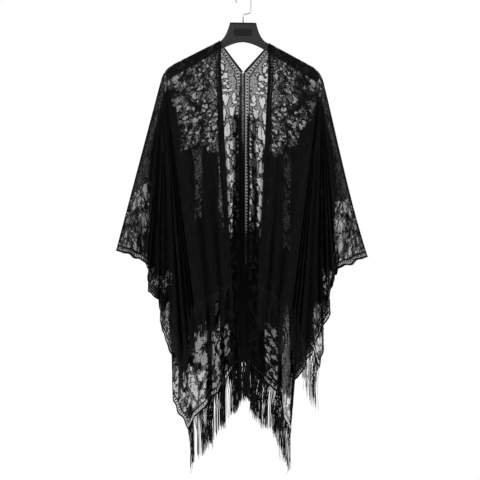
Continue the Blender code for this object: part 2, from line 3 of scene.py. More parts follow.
import bpy
import numpy as np
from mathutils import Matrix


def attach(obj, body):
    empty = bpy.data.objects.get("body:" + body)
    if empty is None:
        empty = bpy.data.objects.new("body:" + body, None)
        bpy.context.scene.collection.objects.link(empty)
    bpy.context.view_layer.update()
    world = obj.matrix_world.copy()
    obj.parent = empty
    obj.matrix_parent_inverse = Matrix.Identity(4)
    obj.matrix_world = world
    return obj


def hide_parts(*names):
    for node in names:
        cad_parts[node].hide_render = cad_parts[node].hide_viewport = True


# A fringed lace shawl on a clothes hanger. Metres, +Z up, the front faces -Y.

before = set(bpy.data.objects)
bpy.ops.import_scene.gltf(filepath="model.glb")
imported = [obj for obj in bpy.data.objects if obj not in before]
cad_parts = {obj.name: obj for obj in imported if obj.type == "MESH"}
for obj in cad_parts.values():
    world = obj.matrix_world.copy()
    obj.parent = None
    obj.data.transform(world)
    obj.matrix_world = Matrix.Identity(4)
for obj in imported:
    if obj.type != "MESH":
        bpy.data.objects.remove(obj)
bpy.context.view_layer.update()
scene = bpy.context.scene
print("frame loaded:", len(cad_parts), "nodes")


def toLinear(hexColour):
    # sRGB hex to the linear colour that the shaders read
    channels = [int(hexColour[k : k + 2], 16) / 255 for k in (1, 3, 5)]
    return tuple(c / 12.92 if c < 0.04045 else ((c + 0.055) / 1.055) ** 2.4 for c in channels) + (1.0,)


def addNode(tree, kind, sockets=(), output=0, **settings):
    # Adds a node with its settings. Its sockets come by name, or in their own order from the first on,
    # and each takes a plain value or another node's output.
    node = tree.nodes.new(kind)
    for name, value in settings.items():
        setattr(node, name, value)
    for key, value in sockets.items() if isinstance(sockets, dict) else enumerate(sockets):
        if isinstance(value, bpy.types.NodeSocket):
            tree.links.new(value, node.inputs[key])
        else:
            node.inputs[key].default_value = value
    return node.outputs[output] if node.outputs else node


def newMaterial(name):
    # a material of that name, with an empty node tree
    material = bpy.data.materials.new(name)
    material.use_nodes = True
    material.node_tree.nodes.clear()
    return material, material.node_tree


def ramp(value, start, run):
    # 0 up to the start, 1 from a run beyond it, and straight between them
    return np.clip((value - start) / run, 0, 1)


def eased(t):
    # a ramp with both of its corners rounded off
    return t * t * (3 - 2 * t)


def meshFromGrid(name, points, material, closedAcross=False, attributes=None):
    # a grid of points (rows, columns, 3) becomes quads; across may join its last column to its first
    rows, columns = points.shape[:2]
    number = np.arange(rows * columns).reshape(rows, columns)
    if closedAcross:
        number = np.concatenate([number, number[:, :1]], 1)
    quads = np.stack([number[:-1, :-1], number[1:, :-1], number[1:, 1:], number[:-1, 1:]], -1)
    return meshFromArrays(name, points.reshape(-1, 3), quads.reshape(-1, 4), material, attributes)


def meshFromArrays(name, points, faces, material, attributes=None):
    # faces is one array, so each face has as many corners as it has columns
    mesh = bpy.data.meshes.new(name)
    count, corners = faces.shape
    mesh.vertices.add(len(points))
    mesh.vertices.foreach_set("co", np.ascontiguousarray(points, np.float32).ravel())
    mesh.loops.add(count * corners)
    mesh.loops.foreach_set("vertex_index", np.ascontiguousarray(faces, np.int32).ravel())
    mesh.polygons.add(count)
    mesh.polygons.foreach_set("loop_start", np.arange(0, count * corners, corners, dtype=np.int32))
    mesh.polygons.foreach_set("use_smooth", np.ones(count, bool))
    mesh.update(calc_edges=True)
    for key, values in (attributes or {}).items():
        kind = "FLOAT" if values.ndim == 1 else "FLOAT_VECTOR"
        field = "value" if values.ndim == 1 else "vector"
        attribute = mesh.attributes.new(key, kind, "POINT")
        attribute.data.foreach_set(field, np.ascontiguousarray(values, np.float32).ravel())
    mesh.materials.append(material)
    made = bpy.data.objects.new(name, mesh)
    scene.collection.objects.link(made)
    return made


def tubes(paths, radii, sides):
    # Paths (tubes, steps, 3) and radii (tubes, steps) become rings round each path, with shut ends.
    # A ring stands square to its path: its first spoke is square to a fixed direction too, which no
    # path takes, and its second to both.
    count, steps = radii.shape
    along = np.gradient(paths, axis=1)
    along /= np.linalg.norm(along, axis=2, keepdims=True)
    first = np.cross(along, np.array([0.31, 0.95, 0.05]))
    first /= np.linalg.norm(first, axis=2, keepdims=True)
    second = np.cross(along, first)
    angles = np.linspace(0, 2 * math.pi, sides, endpoint=False)
    spokes = first[:, :, None] * np.cos(angles)[:, None] + second[:, :, None] * np.sin(angles)[:, None]
    rings = paths[:, :, None] + spokes * radii[:, :, None, None]
    number = np.arange(count * steps * sides).reshape(count, steps, sides)
    turned = np.roll(number, -1, 2)
    walls = np.stack([number[:, :-1], turned[:, :-1], turned[:, 1:], number[:, 1:]], -1).reshape(-1, 4)
    fans = [number[:, 0, [0, k + 1, k]] for k in range(1, sides - 1)]
    fans += [number[:, -1, [0, k, k + 1]] for k in range(1, sides - 1)]
    return rings.reshape(-1, 3), np.concatenate([walls[:, [0, 1, 2]], walls[:, [0, 2, 3]], *fans])


# How the cloth hangs, in the sizes of the solids
cloth = {
    "width": 0.662,  # from the inner edge to the side edge
    "step": 0.00252,  # spacing of the mesh, on the flat cloth
    "foldRadiusArm": 0.0085,
    "foldRadiusTip": 0.0045,
    "cornerCut": 0.030,  # rounding of the cloth over the arm's end
    "cornerFade": 0.05,  # and how far below the fold it still tells
    "slopeFade": 0.03,  # how far below it the arm's slope does
    "apexSmooth": 0.30,  # the folds are full this far from the arm's end
    "foldSoftness": 0.20,  # share of a fold that is rounded
    "drawStart": 0.30,  # the lower corners draw in from here
    "drawFull": 0.90,  # to here
    "bowArc": 14,  # degrees from the sleeve's fold that its bow reaches
    "bowPeak": 6.75,  # makes the bow's highest point 1
    "vWidens": 2.5,
    "innerPower": 1.5,
    "fanNear": 0.6,  # degrees of depth that the fan's folds run between
    "fanFar": 6.8,
}
arm = {
    "tilt": math.radians(0.8),
    "slope": 0.525,
    "levelX": 0.100,  # where the arm's top is at levelZ
    "levelZ": -0.1494,
    "endX": 0.208,
}
# A row is one crest or hollow: its arc on the flat cloth round the arm's end, and the angle it hangs at
fan = {
    "leftFront": (
        (0, -14.8), (4, -12.4), (9, -8.8), (13, -6.4), (17, -4.8), (21, -4.1), (26, -4.2),
        (31, -3.9), (35, -1.4), (39, -0.7), (43, -0.6), (47, 0.9), (51.5, 3.2), (56, 3.8),
        (61, 4.6), (66, 5.6), (71, 5.8), (76, 6.6), (81, 6.8), (85.5, 7.4), (90, 7.6),
    ),
    "leftBack": (
        (0, -14.8), (4, -12.6), (8, -9.8), (13, -6.6), (17, -4.9), (22, -4.1), (27, -4.3),
        (32, -4.2), (37, -0.8), (41, -0.6), (45, -0.6), (50, 1.8), (54, 1.4), (57, 1.5),
        (59.8, 3.7), (64, 5.0), (69, 6.6), (74, 8.3), (78, 9.3), (82, 10.0), (86, 10.5),
        (90, 10.9),
    ),
    "rightFront": (
        (0, -14.2), (5, -11.8), (9, -9.2), (14.5, -5.0), (19, -4.0), (24, -3.3), (28, -2.6),
        (32.5, -1.5), (37.5, -2.2), (40, -1.6), (43, 0.2), (47.5, -0.4), (51.5, 0.6),
        (56, 1.7), (58.6, 2.9), (61.5, 4.5), (66, 5.0), (71, 5.5), (76, 6.0), (81, 6.4),
        (85.5, 6.9), (90, 7.4),
    ),
    "rightBack": (
        (0, -14.2), (5, -11.6), (9, -9.0), (14.5, -5.2), (19, -4.2), (24, -3.4),
        (28.5, -2.8), (33, -1.6), (37, -1.8), (41, -0.6), (45, 0.9), (48, 1.8), (51, 3.6),
        (53, 5.2), (56, 4.9), (59, 4.6), (62, 5.3), (65, 5.9), (69, 6.2), (74, 6.5), (79, 6.7),
        (83, 7.0), (86.5, 7.5), (90, 7.9),
    ),
}
# Under the arm a row is one crest or hollow too: its share along the arm, and its share along the hem
hang = {
    "leftFront": (
        (1.0, 1.0), (0.84, 0.78), (0.68, 0.68), (0.50, 0.45), (0.33, 0.33), (0.15, 0.10), (0.0, 0.0),
    ),
    "leftBack": (
        (1.0, 1.0), (0.83, 0.82), (0.66, 0.64), (0.49, 0.50), (0.34, 0.34), (0.20, 0.23),
        (0.08, 0.20), (0.0, 0.0),
    ),
    "rightFront": (
        (1.0, 1.0), (0.85, 0.82), (0.67, 0.66), (0.52, 0.48), (0.34, 0.36), (0.18, 0.14), (0.0, 0.0),
    ),
    "rightBack": (
        (1.0, 1.0), (0.84, 0.80), (0.68, 0.66), (0.50, 0.48), (0.34, 0.34), (0.20, 0.20),
        (0.08, 0.15), (0.0, 0.0),
    ),
}
panels = {
    "left": {
        "out": -1, "neck": 0.0617, "frontHem": 0.0320, "vDepth": 0.088, "bow": 0.0, "backLift": 0.018,
        "plainEnds": 512, "plainDeep": 104, "plainSlope": 0.8,
    },
    "right": {
        "out": 1, "neck": 0.0707, "frontHem": 0.0400, "vDepth": 0.081, "bow": 0.005, "backLift": 0.005,
        "plainEnds": 502, "plainDeep": 142, "plainSlope": 0.1,
    },
}
# The length is from the shoulder fold to the hem
layers = {
    "front": {
        "length": 0.64, "way": -1, "lean": 0.050, "cornerDraw": 0.955, "drawFade": 1,
        "innerDepth": 0.022, "innerHeight": None,
    },
    "back": {
        "length": 0.87, "way": 1, "lean": 0.030, "cornerDraw": 0.968, "drawFade": 3,
        "innerDepth": 0.016, "innerHeight": -0.9850,
    },
}
seam = {
    "halfWidth": 0.0023,
    "gapTop": 0.004,  # it starts so far under the V's foot
    "steps": 420,
    "cordX": 0.0019,
    "cordRadius": 0.0007,
    "stitchPitch": 0.0042,
    "stitchHalf": 0.0008,  # how far the zigzag swings to either side of the cord
    "stitchLift": 0.0004,
    "stitchRadius": 0.00030,
    "stitchSteps": 1200,
    "tapeX": (-0.0026, -0.0006, 0.0014),
    "tapeLayers": (1.4, 0.7, 6),  # what the tape counts as, and how much more in two steps down
    "edgeLayers": (1.25, 0.6, 5),  # the same for the left panel's edge under it
    "stepsDown": (190, 270, 80),  # where each step starts, and its run, in millimetres
}


def tilted(x, z):
    # turns a point of the level hanger to the way it hangs
    turn, rise = math.cos(arm["tilt"]), math.sin(arm["tilt"])
    return x * turn + z * rise, z * turn - x * rise


def armTop(x):
    # height of the cloth over the arm, a straight slope out from the middle
    return arm["levelZ"] - arm["slope"] * (x - arm["levelX"])


def softened(values, width):
    # a running average that keeps the ends where they are
    reach = max(1, int(round(width)))
    kernel = np.hanning(2 * reach + 3)[1:-1]
    kernel /= kernel.sum()
    start = 2 * values[0] - values[reach:0:-1]
    end = 2 * values[-1] - values[-2 : -reach - 2 : -1]
    return np.convolve(np.concatenate([start, values, end]), kernel, "valid")


def foldDepths(step, move, near, far):
    # the thread has step to run and move to go across: what is left over goes away and back by turns
    depth, way, depths = 0.0, 1, [0.0]
    middle = (near + far) / 2
    for run in np.sqrt(np.maximum(step**2 - move**2, 0)):
        inside = near <= depth + way * run <= far
        if not inside and abs(depth - way * run - middle) < abs(depth + way * run - middle):
            way = -way
        depth += way * run
        depths.append(depth)
        way = -way
    return np.array(depths)


def foldCurve(along, across, near, far, samples=1440):
    # a thread of given length through crests and hollows, rounded, and measured along itself again
    depth = foldDepths(np.diff(along), np.diff(across), near, far)
    places = np.linspace(along[0], along[-1], samples + 1)
    width = cloth["foldSoftness"] * samples / (len(along) - 1)
    x = softened(np.interp(places, along, across), width)
    y = softened(np.interp(places, along, depth), width)
    run = np.concatenate([[0], np.cumsum(np.hypot(np.diff(x), np.diff(y)))])
    run = along[0] + run / run[-1] * (along[-1] - along[0])

    def at(place):
        # how far across and how deep the thread is, at a length along it
        return np.interp(place, run, x), np.interp(place, run, y)

    return at


def layerShape(side, layer):
    # one quarter of the shawl: the thread curves of its fan and of its hem
    panel, way = panels[side], layers[layer]
    key = side + layer.capitalize()
    fall = way["length"] - cloth["foldRadiusArm"] * math.pi / 2
    arc, visual = np.array(fan[key], float).T
    fanCurve = foldCurve(arc, visual, cloth["fanNear"], cloth["fanFar"])
    armLength = (arm["endX"] - panel["neck"]) * math.hypot(1, arm["slope"])
    endX, endZ = tilted(panel["out"] * arm["endX"], armTop(arm["endX"]))
    lastVisual, lastDepth = (math.radians(float(c)) for c in fanCurve(90.0))
    lastX = abs(endX) - fall * math.cos(lastDepth) * math.sin(lastVisual)
    innerX = panel["frontHem"] if layer == "front" else seam["halfWidth"]
    share, hem = np.array(hang[key], float).T
    deepest = armLength / len(share)
    hemCurve = foldCurve((1 - share) * armLength, (1 - hem) * (lastX - innerX), -deepest, deepest)
    tipFall = way["length"] - cloth["foldRadiusTip"] * math.pi / 2
    corner = math.degrees(math.atan2(tipFall, cloth["width"] - armLength))
    return {
        **panel, **way, "layer": layer, "fall": fall, "armLength": armLength,
        "side": cloth["width"] - armLength, "corner": corner, "end": (endX, endZ), "fan": fanCurve,
        "hemCurve": hemCurve, "lastX": lastX, "lastDepth": fall * math.sin(lastDepth), "innerX": innerX,
    }


def foldRadius(shape, u):
    # the shoulder fold is rounder on the arm than past its end
    past = ramp(u, shape["armLength"], shape["side"])
    return cloth["foldRadiusArm"] + (cloth["foldRadiusTip"] - cloth["foldRadiusArm"]) * past


def shoulderLine(shape, u):
    # the top of the fold: down the arm and on to the tip, with the corner between them rounded
    endX, endZ = shape["end"]
    startX, startZ = tilted(shape["out"] * shape["neck"], armTop(shape["neck"]))
    angle = math.radians(float(shape["fan"](0.0)[0]))
    downX, downZ = -shape["out"] * math.sin(angle), -math.cos(angle)
    armX, armZ = (endX - startX) / shape["armLength"], (endZ - startZ) / shape["armLength"]
    past = u - shape["armLength"]
    sharpX = endX + np.where(past < 0, past * armX, past * downX)
    sharpZ = endZ + np.where(past < 0, past * armZ, past * downZ)
    cut = cloth["cornerCut"]
    t = ramp(past, -cut, 2 * cut)
    near = np.abs(past) < cut
    roundX = endX - cut * armX * (1 - t) ** 2 + cut * downX * t**2
    roundZ = endZ - cut * armZ * (1 - t) ** 2 + cut * downZ * t**2
    x, z = np.where(near, roundX, sharpX), np.where(near, roundZ, sharpZ)
    turn = eased(t)
    alongX, alongZ = armX * (1 - turn) + downX * turn, armZ * (1 - turn) + downZ * turn
    size = np.hypot(alongX, alongZ)
    return x, z, -shape["out"] * alongZ / size, shape["out"] * alongX / size, sharpX, sharpZ


def fanPoint(shape, past, below):
    # the cloth past the arm's end: the distance from there times a direction
    endX, endZ = shape["end"]
    reach = np.hypot(past, below)
    arc = np.degrees(np.arctan2(below, past))
    visual, depth = shape["fan"](arc)
    depth = np.radians(depth * eased(ramp(reach, 0, cloth["apexSmooth"])))
    visual = np.radians(visual)
    corner = shape["corner"]
    above = ramp(arc, 90, corner - 90) ** shape["drawFade"]
    nearCorner = np.where(arc < corner, (arc / corner) ** 2, above)
    full = ramp(reach, cloth["drawStart"], cloth["drawFull"] - cloth["drawStart"])
    drawn = 1 - (1 - shape["cornerDraw"]) * nearCorner * full
    across = reach * drawn * np.cos(depth) * np.sin(visual)
    along = past / shape["side"]
    bow = shape["bow"] * cloth["bowPeak"] * along**2 * (1 - along)
    bow *= np.exp(-((arc / cloth["bowArc"]) ** 2))
    x = endX - shape["out"] * (across + bow)
    return x, reach * drawn * np.sin(depth), endZ - reach * drawn * np.cos(depth) * np.cos(visual)


def hangPoint(shape, u, v, below, share, topX, topZ):
    # the cloth under the arm: straight threads from the arm to the hem's curve
    armLength = shape["armLength"]
    inner = np.clip(1 - u / armLength, 0, 1)
    across, hemDepth = shape["hemCurve"](inner * armLength)
    endDepth = float(shape["hemCurve"](armLength)[1])
    hemX = shape["lastX"] - across
    hemY = shape["lastDepth"] + hemDepth + (shape["innerDepth"] - shape["lastDepth"] - endDepth) * inner
    bodyX = np.abs(topX)
    if shape["layer"] == "back":
        # below the V the back reaches in to the seam
        spread = (abs(shape["end"][0]) - shape["innerX"]) / armLength
        seamX = shape["innerX"] + spread * np.minimum(u, armLength)
        foot = (shape["vDepth"] - v + below) * (1 + cloth["vWidens"] * u / armLength)
        bodyX = seamX + (bodyX - seamX) * np.clip(1 - below / foot, 0, 1)
    drop = np.sqrt(shape["fall"] ** 2 - (hemX - np.abs(topX)) ** 2 - hemY**2)
    if shape["layer"] == "back":
        drop -= shape["backLift"] * 4 * inner * (1 - inner)
    if shape["innerHeight"] is not None:
        innerTop = tilted(shape["out"] * shape["neck"], armTop(shape["neck"]))[1]
        innerDrop = innerTop - cloth["foldRadiusArm"] - shape["innerHeight"]
        drop += (innerDrop - shape["fall"]) * inner ** cloth["innerPower"]
    return shape["out"] * (bodyX + (hemX - bodyX) * share), hemY * share, topZ - share * drop


def drape(shape, u, v):
    # u runs from the inner edge and v from the shoulder fold, both along the cloth: first round
    # the fold over the arm, then down as a fan past the arm's end or in upright folds under it
    topX, topZ, normalX, normalZ, sharpX, sharpZ = shoulderLine(shape, u)
    radius = foldRadius(shape, u)
    turn = np.minimum(v / radius, math.pi / 2)
    below = np.maximum(v - radius * math.pi / 2, 0)
    share = below / (shape["length"] - radius * math.pi / 2)
    past = np.maximum(u - shape["armLength"], 0)
    parts = zip(hangPoint(shape, u, v, below, share, sharpX, sharpZ), fanPoint(shape, past, below))
    x, y, z = (np.where(u < shape["armLength"], h, f) for h, f in parts)
    rounding = np.exp(-((below / cloth["cornerFade"]) ** 2))
    drop = radius * (1 - np.cos(turn))
    aslant = np.exp(-((below / cloth["slopeFade"]) ** 2))
    x = x - normalX * drop * aslant + (topX - sharpX) * rounding
    y = shape["way"] * (y + radius * np.sin(turn) + shape["lean"] * below)
    return np.stack([x, y, z - normalZ * drop + (topZ - sharpZ) * rounding], -1)


def gridNormals(points):
    # the cross product of the two ways along the grid, one for each point
    normal = np.cross(np.gradient(points, axis=0), np.gradient(points, axis=1))
    return normal / np.maximum(np.linalg.norm(normal, axis=-1, keepdims=True), 1e-12)


# A crease is a soft ridge (or a trough, below 0) along a line on the flat cloth: from u, v to u, v,
# half its width, and its height, all in millimetres
creases = {
    "leftFront": (
        (7, 20, 7, 640, 5, 3.0), (18, 30, 15, 640, 4, -2.4), (48, 190, 40, 640, 7, 3.4),
        (66, 150, 61, 610, 6, -2.8), (92, 210, 84, 640, 8, 3.6), (112, 120, 106, 560, 6, -3.0),
        (136, 90, 128, 640, 9, 4.0), (158, 60, 152, 600, 7, -3.4), (204, 150, 262, 640, 9, 3.2),
        (232, 110, 340, 600, 10, -3.0), (300, 120, 470, 640, 11, 3.4), (430, 130, 600, 420, 12, -2.6),
    ),
    "leftBack": (
        (12, 150, 12, 870, 5, -3.6), (24, 130, 26, 860, 6, 5.0), (36, 170, 37, 700, 5, -4.0),
        (70, 220, 66, 870, 7, 3.4), (94, 160, 90, 800, 6, -3.0), (120, 120, 114, 870, 8, 3.6),
        (148, 90, 140, 820, 7, -3.4), (198, 160, 240, 860, 9, 3.4), (236, 130, 330, 840, 8, -3.0),
        (290, 150, 440, 870, 11, 3.6), (380, 120, 560, 700, 12, -2.8), (480, 110, 640, 420, 12, 2.6),
    ),
    "rightFront": (
        (8, 20, 8, 640, 5, 3.2), (20, 30, 17, 640, 4, -2.6), (44, 160, 40, 600, 8, 3.0),
        (70, 200, 62, 640, 6, -3.2), (88, 120, 82, 560, 7, 3.2), (118, 170, 110, 640, 8, -3.4),
        (140, 80, 133, 620, 8, 4.2), (190, 130, 236, 640, 10, -3.0), (246, 140, 372, 620, 9, 3.4),
        (320, 110, 500, 560, 12, -3.0), (456, 150, 620, 480, 12, 2.8),
    ),
    "rightBack": (
        (10, 130, 10, 870, 4, 3.4), (25, 150, 24, 860, 5, -4.4), (34, 140, 34, 520, 4, 3.8),
        (46, 170, 44, 560, 4, -3.4), (78, 200, 72, 870, 7, 3.2), (104, 150, 98, 820, 7, -3.4),
        (130, 110, 122, 870, 8, 3.8), (186, 120, 226, 840, 9, -3.0), (250, 160, 350, 870, 10, 3.4),
        (310, 120, 470, 760, 12, -3.2), (420, 140, 600, 560, 12, 2.8),
    ),
}
ripples = {
    "height": 0.7,  # fine upright ripples, in millimetres
    "from": 150,
    "full": 330,
    "spacings": (2.9, 4.7),
    "wander": (83, 131),  # their own spacings waver over such lengths
    "creaseFade": 60,  # a crease fades over this at its two ends
    "creaseSwing": 3.0,  # and wavers so far to either side
    "creaseWave": 61,
}

# Where the cloth lies in many narrow pleats. A row is a patch of the hung cloth seen from the front:
# its left and right at the top, its left and right at the bottom, its top and bottom, how soft its
# rim is, and how many layers it counts as. Millimetres, from the hook.
gathers = {
    "both": (
        # under the left arm's end, and the left body
        (-218, -206, -238, -166, -262, -370, 7, 9),
        (-236, -168, -242, -168, -360, -440, 8, 9),
        (-242, -62, -243, -62, -432, -660, 9, 9),
        (-66, -44, -66, -30, -420, -660, 5, 2.0),
        (-262, 0, -222, 0, -642, -826, 9, 10),
        (-193, -128, -193, -128, -815, -880, 8, 9),
        (-186, -138, -184, -142, -860, -1000, 8, 6),
        (-130, 0, -130, 0, -790, -880, 6, 10),
        # the same on the right
        (199, 212, 142, 234, -288, -412, 8, 9),
        (142, 234, 62, 236, -404, -450, 9, 9),
        (58, 236, 54, 242, -446, -650, 9, 9),
        (0, 262, 0, 232, -634, -806, 9, 10),
        (0, 206, 0, 196, -790, -890, 8, 9),
        (130, 192, 130, 150, -870, -1010, 8, 7),
        # the cloth bunched at the arms' ends
        (-226, -170, -226, -180, -200, -316, 10, 1.0),
        (140, 226, 146, 216, -200, -330, 12, 1.1),
    ),
    "back": (
        # dark folds beside the seam
        (-25, -9, -28, -9, -335, -660, 5, 4),
        (-24, -10, -28, -9, -430, -660, 4, 7),
        (11.5, 15, 11, 15, -330, -660, 3, 5),
        (24, 30, 22, 37, -345, -660, 4, 6),
        (52, 60, 42, 54, -420, -660, 5, 5),
        (-33, 0, -33, 0, -640, -1100, 5, 10),
        (9, 58, 9, 56, -640, -740, 5, 10),
        (-3, 58, -3, 56, -712, -1080, 5, 10),
        # folds down the lower back
        (-98, -85, -98, -85, -860, -1090, 3, 7),
        (-62, -50, -61, -50, -860, -1100, 3, 7),
        (-48, -34, -48, -34, -860, -1000, 6, 2.5),
        (90, 100, 90, 101, -860, -1150, 3, 9),
        (126, 136, 125, 131, -860, -1010, 4, 8),
        (100, 108, 100, 104, -1010, -1150, 4, 6),
        # the windows between them hang in shallow folds
        (-126, -99, -128, -99, -880, -1000, 6, 1.2),
        (-84, -62, -84, -62, -860, -1100, 4, 1.1),
        (-52, -32, -52, -32, -860, -1010, 4, 2.6),
        (60, 90, 60, 90, -860, -970, 4, 2.2),
        (60, 90, 60, 90, -940, -1080, 4, 1.7),
    ),
    "front": (),
}
# Patches where the pleats lie open or the cloth is stretched, in the same order: how many layers they
# count as instead
openings = {
    "both": (
        (-137, -102, -137, -104, -414, -612, 10, 0.92),
        (-71, -47, -71, -47, -400, -604, 6, 0.55),
        (98, 133, 98, 132, -424, -700, 10, 1.12),
        (50, 68, 50, 66, -470, -570, 7, 1.2),
        (-250, -186, -240, -186, -738, -796, 8, 1.7),
        (204, 244, 200, 226, -728, -800, 7, 1.2),
        (238, 330, 238, 330, -560, -704, 8, 0.85),
        (-224, -194, -224, -194, -826, -938, 5, 0.7),
        (182, 222, 176, 206, -822, -966, 7, 0.95),
        # two pleats lie open a little way above the windows
        (-80, -64, -80, -64, -776, -856, 4, 2.4),
        (112, 126, 112, 126, -770, -866, 4, 2.4),
    ),
    "back": (
        # the neck
        (-74, 86, -70, 82, -140, -322, 6, 0.86),
        # the seam's border shows on a little further down
        (2, 10, 2, 10, -590, -712, 3, 2.0),
        # windows in the lower back
        (-126, -99, -128, -99, -900, -1000, 6, 2.3),
        (-148, -99, -150, -99, -1000, -1110, 6, 1.15),
        (-84, -63, -84, -63, -880, -1090, 4, 2.4),
        (-52, -33, -52, -33, -880, -990, 4, 3.4),
        (-192, -168, -186, -160, -990, -1045, 6, 1.6),
        (60, 90, 60, 90, -880, -1060, 4, 3.4),
        (101, 126, 101, 126, -858, -1090, 4, 1.4),
        (101, 128, 101, 126, -1078, -1186, 4, 0.55),
    ),
    "front": (
        # the front's side edge curls up at the tips, so the back's border shows alone
        (-330, -250, -330, -250, -688, -730, 5, 0.9),
        (238, 326, 238, 326, -690, -740, 5, 0.25),
    ),
}
# Patches of plain net, in the same order but ending with the share that small curls take of it
plainPatches = {
    "both": (
        (-137, -102, -137, -104, -414, -612, 10, 0.50),
        (-71, -47, -71, -47, -400, -604, 6, 0.90),
        (-84, -60, -84, -60, -760, -850, 4, 0.15),
        (108, 130, 108, 130, -760, -850, 4, 0.15),
        (98, 133, 98, 132, -424, -700, 10, 0.50),
    ),
    "back": (
        (101, 126, 101, 126, -858, -1080, 4, 0.75),
        # beside the foot of the V
        (-38, 33, -22, 20, -208, -250, 5, 0.0),
    ),
    "front": (),
}


def creaseHeight(u, v, rows):
    # adds up the ridges, each a bell across its line that fades at its two ends, and the fine ripples
    height = np.zeros(u.shape)
    for u0, v0, u1, v1, half, high in rows:
        length = math.hypot(u1 - u0, v1 - v0)
        alongU, alongV = (u1 - u0) / length, (v1 - v0) / length
        along = (u - u0) * alongU + (v - v0) * alongV
        aside = (u - u0) * alongV - (v - v0) * alongU
        aside += ripples["creaseSwing"] * np.sin(along / ripples["creaseWave"] + u0)
        ends = np.clip(np.minimum(along, length - along) / ripples["creaseFade"] + 0.5, 0, 1)
        height += high * np.exp(-((aside / half) ** 2)) * eased(ends)
    fullness = ramp(v, ripples["from"], ripples["full"] - ripples["from"])
    (narrow, wide), (narrowWander, wideWander) = ripples["spacings"], ripples["wander"]
    ripple = np.sin(u / narrow + 0.6 * np.sin(v / narrowWander))
    ripple += 0.8 * np.sin(u / wide + 1 + np.sin(v / wideWander))
    return height + ripples["height"] * ripple * fullness


# How a patch's rim wavers, in millimetres
rim = {
    "rises": ((9, 7.0, 1.0), (6, 3.1, 0.0)),  # waves of its top and foot: height, length and start
    "swings": (1.2, 37.0),  # and of its sides: swing and length
}


def patchShare(x, z, row):
    # from 0 to 1 inside a patch, softly at its rim, which wanders up and down as pleats do
    leftTop, rightTop, leftFoot, rightFoot, top, foot, soft = row
    for size, wave, start in rim["rises"]:
        z = z + size * np.sin(x / wave + start)
    size, wave = rim["swings"]
    x = x + size * np.sin(z / wave)
    down = ramp(z, top, foot - top)
    left, right = leftTop + (leftFoot - leftTop) * down, rightTop + (rightFoot - rightTop) * down
    inside = np.minimum(np.minimum(x - left, right - x), np.minimum(top - z, z - foot) / 2)
    return eased(np.clip(inside / (2 * soft) + 0.5, 0, 1))


def gatherLayers(x, z, layer, count):
    # the most that any gather gives at a point, on top of the cloth's own folds, less where it opens
    more = np.zeros(x.shape)
    for row in gathers["both"] + gathers[layer]:
        more = np.maximum(more, row[7] * patchShare(x, z, row[:7]))
    count = count + more
    for row in openings["both"] + openings[layer]:
        count = count + np.minimum(row[7] - count, 0) * patchShare(x, z, row[:7])
    return count


# The lace's figures, drawn flat in millimetres
lace = {
    "across": 220,  # one repeat as it is drawn
    "down": 252,
    "stretch": (1.5, 1.31),  # it is woven so much larger: two repeats fill the width
    "bend": (1.9, 0.8),  # how far wide and narrow hills of noise carry a line
    "sway": (3.5, 57, 61),  # slow waves: their swing, and their length down and across
    "outline": 2.4,  # velvet line round a sheer figure
    "outlineSoft": 0.5,
    "soft": 0.6,  # lines and figures fade over this to either side of their edges
    "clearOfBorder": 14.5,  # no figure nearer to an edge
    "clearBesideV": 9.5,  # and none in so much more along the V
    "netWall": 0.79,  # how much of the light each ground stops
    "sheerWall": 0.45,
    "bandWall": 0.76,
    "hemBandWall": 0.46,
    "inkWall": 0.99,
    "netGrain": 0.17,  # how much the yarn's unevenness changes that
    "sheerGrain": 0.15,
    "threadPitch": 1.35,  # half of the way between two threads of the net
    "threadEnds": (0.2, 0.8),
    "threadWall": 0.10,  # how much more a thread stops than a hole
    "repeatFill": (6.4, 8),  # the least room that a small leaf takes, and every how many one is velvet
    "yokeFill": (6.6, 600),  # here none is
    "yokeWidth": 84,  # the yoke is the back of the neck and below, with figures of its own
    "yokeTop": 16,
    "yokeLength": 524,
    "yokeMargin": 12,  # its drawing is so much larger each way, so that its rims don't meet
    "yokeSlimmer": 1.3,  # the yoke's outlines are so much finer
}
# The woven ladder border, in millimetres from the edge. A pair is where a part fades in or out.
ladder = {
    "solidEdge": (4.4, 3.6),
    "rowAt": 8.6,
    "rowHalf": (2.5, 1.8),
    "rowOpens": 0.16,  # the row's open cells let so much more light through
    "dashPitch": 4.2,  # half of the way between two dashes
    "dashHalf": (2.8, 2.1),
    "lineAt": 13.6,
    "lineHalf": (1.6, 0.9),
    "hemLineMore": 0.8,  # the inner line is so much thicker at the outer edges
    "bandEnd": (13.2, 12.6),
}
# Tendrils are the parts of a soft noise that lie nearer to 0 than their thickness
winding = {
    "thick": 0.30,
    "thinner": 0.18,  # by this below thinFrom, where it comes in over thinOver
    "thinFrom": 560,
    "thinOver": 80,
    "steep": 2.9,  # turns the noise to millimetres
    "clear": 3.2,  # left between a tendril and a figure
    "yokeUpper": 330,  # none above this in the yoke
}
# How blossoms, leaves and the small leaves between them are drawn, in millimetres
drawing = {
    "ringHalf": 1.3,  # the ring round a blossom's heart
    "petalStart": 2.6,  # from that ring
    "petalGap": 1.5,
    "petalWidth": 0.86,
    "petalUneven": 0.07,  # share by which petals differ in length
    "veinFrom": 22,  # blossoms that reach further have veins in their petals
    "veinHalf": 1.2,
    "veinShare": 0.62,
    "ribFrom": 13.5,  # wider leaves have a rib
    "ribHalf": 1.3,
    "ribShare": 0.6,
    "fillGap": 2.0,  # room left round a small leaf
    "fillMost": 8.0,  # and the most that its half is
    "fillTurn": 2.4,  # radians from each to the next
    "fillLobes": (0.86, 0.26),
}
farOff = 40.0  # millimetres, past every line and figure
